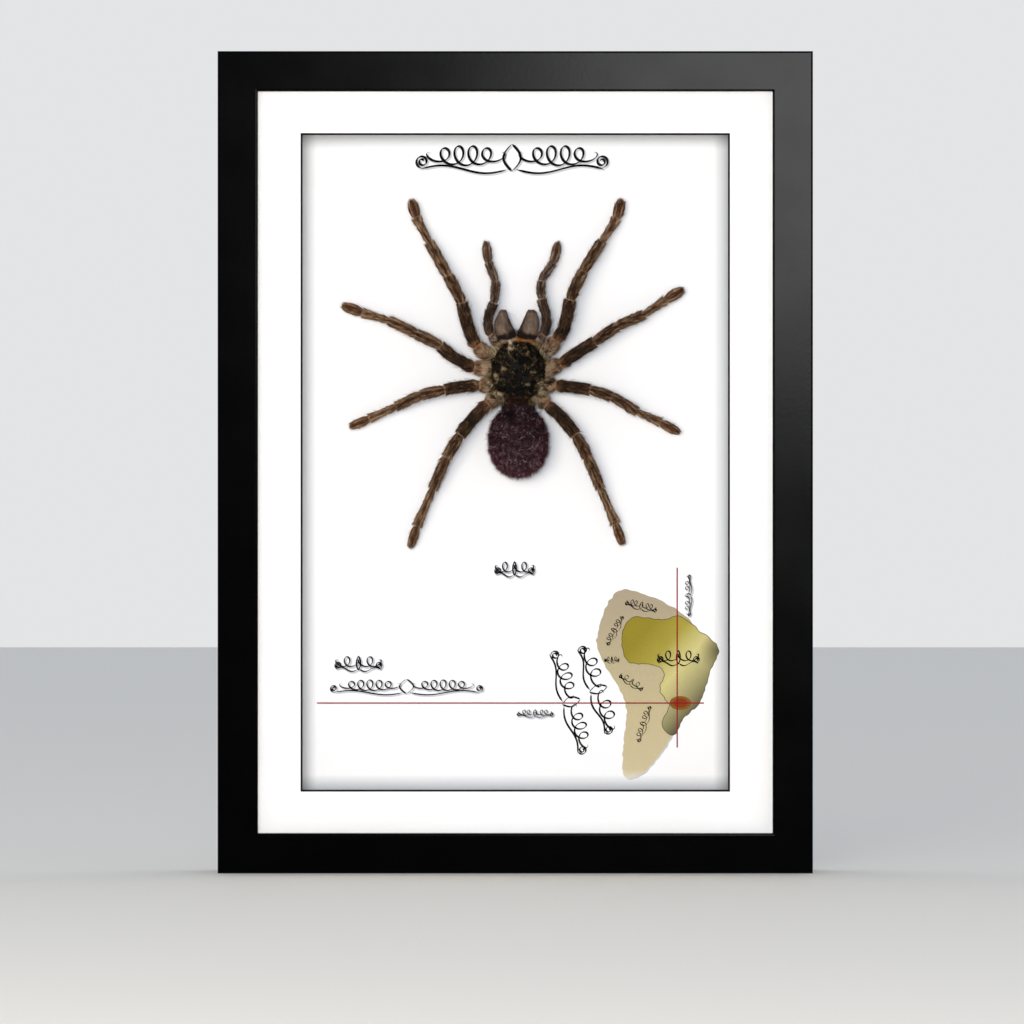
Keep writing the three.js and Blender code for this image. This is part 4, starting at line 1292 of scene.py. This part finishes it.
class SPECIMEN_OT_papers(bpy.types.Operator):
    """Finish the mat, with its black core, and the card"""

    bl_idname = "specimen.papers"
    bl_label = "Mat and card"

    def execute(self, context):
        look = context.scene.specimen_frame
        dress(["mat"], paper("white_mat_board", look.paper, look.core))
        # the card takes painted shade at the mat's window edge
        dress(["specimen_card"], paper("white_card", look.card, painted_edge_shade=PAINTED_WINDOW_SHADE))
        return {"FINISHED"}


class SPECIMEN_OT_print(bpy.types.Operator):
    """Print the card's flourishes, crossing lines and map"""

    bl_idname = "specimen.print"
    bl_label = "Print"

    def execute(self, context):
        look = context.scene.specimen_print
        inks = {
            "ink": ink("black_ink", look.ink),
            "shade": ink("grey_ink", look.shade),
            "pale": ink("pale_grey_ink", look.pale_shade),
            "line": ink("red_ink", look.line),
            "border": ink("olive_ink", linear("#4c4a2c")),
            "spot": ink("light_brown_ink", look.spot),
            "spot_middle": ink("brown_ink", linear("#843a0c")),
            "coast": graded_ink("tan_ink", (0.0, 0.0, 1.0), 36, 112, [
                (0, "#e2dccb"), (0.06, "#cbbc96"), (0.45, look.land_south), (1, look.land_north),
            ]),
            "region": graded_ink("olive_yellow_ink", (0.75, 0.0, -0.66), -24, 12, [
                (0, look.region_west), (0.28, "#a69940"), (0.55, look.region_east), (0.76, "#a8a071"),
                (1, "#55523c"),
            ], corner=((82.5, 88.0), 9.0)),
        }
        for name, parts, kind in print_layers():
            piece = add_piece(name, parts, [inks[kind]], at=(0, CARD_FACE, 0), smooth=False)
        return {"FINISHED"}


class SPECIMEN_OT_backing(bpy.types.Operator):
    """Finish the spacers, the back board, the steel points and the hanger"""

    bl_idname = "specimen.backing"
    bl_label = "Backing"

    def execute(self, context):
        foam = pressed_board("white_foam_board", "#e9e9e6", "#f7f7f5", grain_mm=0.5, roughness=0.8)
        board = pressed_board("brown_hardboard", "#3d2818", "#7c5a3c", grain_mm=0.7, roughness=0.75)
        steel = rolled_metal("rolled_steel", "#a9abae", roughness=0.35, streak_mm=0.6)
        brass = rolled_metal("plated_brass", "#c39a4c", roughness=0.3, streak_mm=0.5)
        dress(nodes_named("spacer_"), foam)
        dress(["back_board"], board)
        dress(nodes_named("point_"), steel)
        dress(nodes_named("sawtooth_") + nodes_named("hanger_"), brass)
        return {"FINISHED"}


def ramp(*tones):
    """A ramp's stops, evenly spaced from 0 to 1."""
    return [(i / (len(tones) - 1), tone) for i, tone in enumerate(tones)]


LIMB_RUST = "#b4663a"
LIMB_ROUGHNESS = 0.45


def coat(skin_name, hair_name, stops, rust, roughness):
    """The two materials of a furred piece: its cuticle and its hair."""
    return [cuticle(skin_name, stops, rust, roughness), hair(hair_name, stops, rust)]


def place_specimen(name, parts, materials, node_name):
    """A piece of the animal, in place of its CAD node."""
    piece = add_piece(name, parts, materials, at=SPECIMEN)
    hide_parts(node_name)


class SPECIMEN_OT_legs(bpy.types.Operator):
    """Make the eight furred legs"""

    bl_idname = "specimen.legs"
    bl_label = "Legs"

    def execute(self, context):
        look = context.scene.specimen_animal
        stops = ramp("#0c0805", "#211810", "#483422", "#7b5c43", "#ac8967", "#d2b493")
        materials = coat("leg_cuticle", "leg_hair", stops, LIMB_RUST, LIMB_ROUGHNESS)
        for name in LIMBS:
            if name.startswith("leg_"):
                parts = limb_parts(name, look, look.leg_hairs)
                place_specimen("furred_" + name, parts, materials, name)
        return {"FINISHED"}


class SPECIMEN_OT_pedipalps(bpy.types.Operator):
    """Make the two furred pedipalps"""

    bl_idname = "specimen.pedipalps"
    bl_label = "Pedipalps"

    def execute(self, context):
        look = context.scene.specimen_animal
        stops = [(0, "#15100c"), (0.25, "#35291f"), (0.45, "#574436"), (0.65, "#856e5c"), (1, "#c9b59f")]
        materials = coat("pedipalp_cuticle", "pedipalp_hair", stops, LIMB_RUST, LIMB_ROUGHNESS)
        for name in LIMBS:
            if name.startswith("pedipalp_"):
                parts = limb_parts(name, look, look.leg_hairs // 2)
                place_specimen("furred_" + name, parts, materials, name)
        return {"FINISHED"}


class SPECIMEN_OT_chelicerae(bpy.types.Operator):
    """Make the two furred chelicerae"""

    bl_idname = "specimen.chelicerae"
    bl_label = "Chelicerae"

    def execute(self, context):
        look = context.scene.specimen_animal
        stops = [(0, "#0d090a"), (0.3, "#372b26"), (0.6, "#796657"), (0.8, "#9c8776"), (1, "#bfad9c")]
        materials = coat("chelicera_cuticle", "chelicera_velvet", stops, "#7a5236", 0.5)
        for name in CHELICERAE:
            place_specimen("furred_" + name, chelicera_parts(name, look), materials, name)
        return {"FINISHED"}


class SPECIMEN_OT_cephalothorax(bpy.types.Operator):
    """Make the cephalothorax, with its grooves, tufts and eyes"""

    bl_idname = "specimen.cephalothorax"
    bl_label = "Cephalothorax"

    def execute(self, context):
        look = context.scene.specimen_animal
        stops = ramp("#030202", "#120d07", "#3a2d1a", "#7c6745", "#b39c74", "#e8dac0")
        rust = "#c8782a"
        eyes = [(0, "#030303"), (0.6, "#9a8f80"), (1, "#e8e2d6")]
        materials = coat("carapace_cuticle", "carapace_hair", stops, rust, 0.6)
        materials.append(cuticle("eye_lens", eyes, rust, 0.08))
        parts = cephalothorax_parts(look)
        place_specimen("furred_cephalothorax", parts, materials, "cephalothorax")
        return {"FINISHED"}


class SPECIMEN_OT_abdomen(bpy.types.Operator):
    """Make the woolly abdomen"""

    bl_idname = "specimen.abdomen"
    bl_label = "Abdomen"

    def execute(self, context):
        look = context.scene.specimen_animal
        stops = ramp("#050304", "#180f14", "#402c33", "#74595f", "#a08a90", "#c4b4b8")
        materials = coat("abdomen_skin", "abdomen_wool", stops, "#5c2129", 0.7)
        place_specimen("furred_abdomen", abdomen_parts(look), materials, "abdomen")
        return {"FINISHED"}


FLAGGED_FILL = 0.03  # strength of the front that gloss sees
BACKDROP_STRENGTH = 0.86
# Each softbox's place and width in metres, and its tone.
SIDE_SOFTBOX = ((-0.85, -2.3, 0.28), 1.2, "#fff4e4")
FRONT_SOFTBOX = ((-0.15, -2.9, 0.30), 0.7, "#eef4ff")
RAIL_SOFTBOX = ((0.371, -3.0, 0.607), 0.68, "#ffffff")
CAMERA_ACROSS, CAMERA_HEIGHT = -0.0013, 0.1433  # metres


class SPECIMEN_OT_stage(bpy.types.Operator):
    """Set the floor, the soft lights and the camera"""

    bl_idname = "specimen.stage"
    bl_label = "Stage"

    def execute(self, context):
        look = context.scene.specimen_stage
        scene = context.scene
        scene.view_settings.view_transform = "Standard"
        self.add_floor(scene, look)
        self.add_world(scene, look)
        rails = nodes_named("rail_")
        front_pieces = rails + ["glass_pane"]
        side = self.add_light(scene, "side_softbox", look.side_power, *SIDE_SOFTBOX)
        self.link_light(side, front_pieces, "EXCLUDE")
        self.link_shadow(side, front_pieces + ["mat"] + nodes_named("spacer_"))
        front = self.add_light(scene, "front_softbox", look.front_power, *FRONT_SOFTBOX)
        self.link_light(front, front_pieces, "EXCLUDE")
        sheen = self.add_light(scene, "rail_softbox", look.rail_power, *RAIL_SOFTBOX)
        self.link_light(sheen, rails, "INCLUDE")
        self.add_camera(scene, look)
        return {"FINISHED"}

    def add_floor(self, scene, look):
        """A pale matt floor under the frame."""
        material, tree = new_material("pale_floor_paint")
        grain = node(tree, "TexNoise", {"Vector": object_place(tree), "Scale": 400.0, "Detail": 4.0})
        bump = node(tree, "Bump", {"Height": grain.outputs[0], "Strength": 0.05, "Distance": 0.0003})
        finished(material, node(tree, "BsdfPrincipled", {
            "Base Color": look.floor, "Roughness": 0.7, "Specular IOR Level": 0.2, "Normal": bump.outputs[0],
        }))
        half = 5.0  # metres
        corners = [(-half, -half, 0), (half, -half, 0), (half, half, 0), (-half, half, 0)]
        mesh = bpy.data.meshes.new("floor")
        mesh.from_pydata(corners, [], [(0, 1, 2, 3)])
        mesh.materials.append(material)
        floor = bpy.data.objects.new("floor", mesh)
        scene.collection.objects.link(floor)
        floor.visible_glossy = False

    def add_world(self, scene, look):
        """A pale surrounding, brighter behind the frame than in front of it, where the softboxes
        are. Gloss sees a darker front, as in a studio that is flagged black, and the camera sees
        one plain backdrop."""
        world = bpy.data.worlds.new("studio")
        world.use_nodes = True
        tree = world.node_tree
        tree.nodes.clear()
        path = node(tree, "LightPath")
        facing = node(tree, "SeparateXYZ", {0: node(tree, "TexCoord").outputs["Generated"]})
        front = node(tree, "Mix", {
            0: path.outputs["Is Glossy Ray"], 2: look.fill, 3: FLAGGED_FILL,
        }, data_type="FLOAT")
        lit = node(tree, "MapRange", {
            "Value": facing.outputs["Y"], "From Min": -0.2, "From Max": 0.3,
            "To Min": front.outputs[0], "To Max": 1.0,
        })
        strength = node(tree, "Mix", {
            0: path.outputs["Is Camera Ray"], 2: lit.outputs[0], 3: BACKDROP_STRENGTH,
        }, data_type="FLOAT")
        tone = node(tree, "Mix", {
            0: path.outputs["Is Camera Ray"], 6: linear("#e4ecfa"), 7: linear("#f3f4f6"),
        }, data_type="RGBA")
        background = node(tree, "Background", {"Color": tone.outputs[2], "Strength": strength.outputs[0]})
        node(tree, "OutputWorld", {"Surface": background.outputs[0]})
        scene.world = world

    def add_light(self, scene, name, power, place, size, tone):
        """A square soft light at a place, turned to face the frame's middle."""
        data = bpy.data.lights.new(name, "AREA")
        data.color = linear(tone)[:3]
        data.shape = "SQUARE"
        data.size = size
        data.energy = power
        light = bpy.data.objects.new(name, data)
        light.location = place
        away = light.location - Vector((0, FRAME_FRONT * MM, FRAME_TOP * MM / 2))
        light.rotation_euler = away.to_track_quat("Z", "Y").to_euler()
        light.visible_camera = False
        scene.collection.objects.link(light)
        return light

    def linked(self, name, names, state):
        """A collection of some CAD nodes that a light leaves out, or keeps to."""
        held = bpy.data.collections.new(name)
        for node_name in names:
            held.objects.link(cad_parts[node_name])
        for each in held.collection_objects:
            each.light_linking.link_state = state
        return held

    def link_light(self, light, names, state):
        """Keeps a light off some CAD nodes, or to them alone."""
        light.light_linking.receiver_collection = self.linked(light.name + "_receivers", names, state)

    def link_shadow(self, light, names):
        """Lets a light pass through some CAD nodes, so that the frame's depth casts no broad shade."""
        light.light_linking.blocker_collection = self.linked(light.name + "_passes", names, "EXCLUDE")

    def add_camera(self, scene, look):
        """Level, square to the frame, a little left of its middle and below it."""
        data = bpy.data.cameras.new("camera")
        camera = bpy.data.objects.new("camera", data)
        camera.location = (CAMERA_ACROSS, FRAME_FRONT * MM - look.camera_distance, CAMERA_HEIGHT)
        camera.rotation_euler = (math.pi / 2, 0, 0)
        data.lens = data.sensor_width * look.camera_distance / look.view_width
        data.clip_end = 50
        scene.collection.objects.link(camera)
        scene.camera = camera


GROUPS = {
    "specimen_frame": FrameFinish,
    "specimen_print": PrintColours,
    "specimen_animal": AnimalLook,
    "specimen_stage": StageLook,
}
OPERATORS = (
    SPECIMEN_OT_rails,
    SPECIMEN_OT_glass,
    SPECIMEN_OT_papers,
    SPECIMEN_OT_print,
    SPECIMEN_OT_backing,
    SPECIMEN_OT_legs,
    SPECIMEN_OT_pedipalps,
    SPECIMEN_OT_chelicerae,
    SPECIMEN_OT_cephalothorax,
    SPECIMEN_OT_abdomen,
    SPECIMEN_OT_stage,
)


class SPECIMEN_PT_panel(bpy.types.Panel):
    """The specimen's settings and steps"""

    bl_label = "Framed Specimen"
    bl_idname = "SPECIMEN_PT_panel"
    bl_space_type = "VIEW_3D"
    bl_region_type = "UI"
    bl_category = "Specimen"

    def draw(self, context):
        for group in GROUPS:
            box = self.layout.box()
            settings = getattr(context.scene, group)
            for name in type(settings).__annotations__:
                box.prop(settings, name)
        for operator in OPERATORS:
            self.layout.operator(operator.bl_idname)


def register():
    """Adds the settings, the operators and the panel."""
    for group in GROUPS.values():
        bpy.utils.register_class(group)
    for name, group in GROUPS.items():
        setattr(bpy.types.Scene, name, bpy.props.PointerProperty(type=group))
    for operator in OPERATORS:
        bpy.utils.register_class(operator)
    bpy.utils.register_class(SPECIMEN_PT_panel)


def unregister():
    """Takes them out again."""
    bpy.utils.unregister_class(SPECIMEN_PT_panel)
    for operator in reversed(OPERATORS):
        bpy.utils.unregister_class(operator)
    for name, group in reversed(GROUPS.items()):
        delattr(bpy.types.Scene, name)
        bpy.utils.unregister_class(group)


def main():
    """Runs every operator in order."""
    register()
    for operator in OPERATORS:
        group, step = operator.bl_idname.split(".")
        getattr(getattr(bpy.ops, group), step)()


if __name__ == "__main__":
    main()
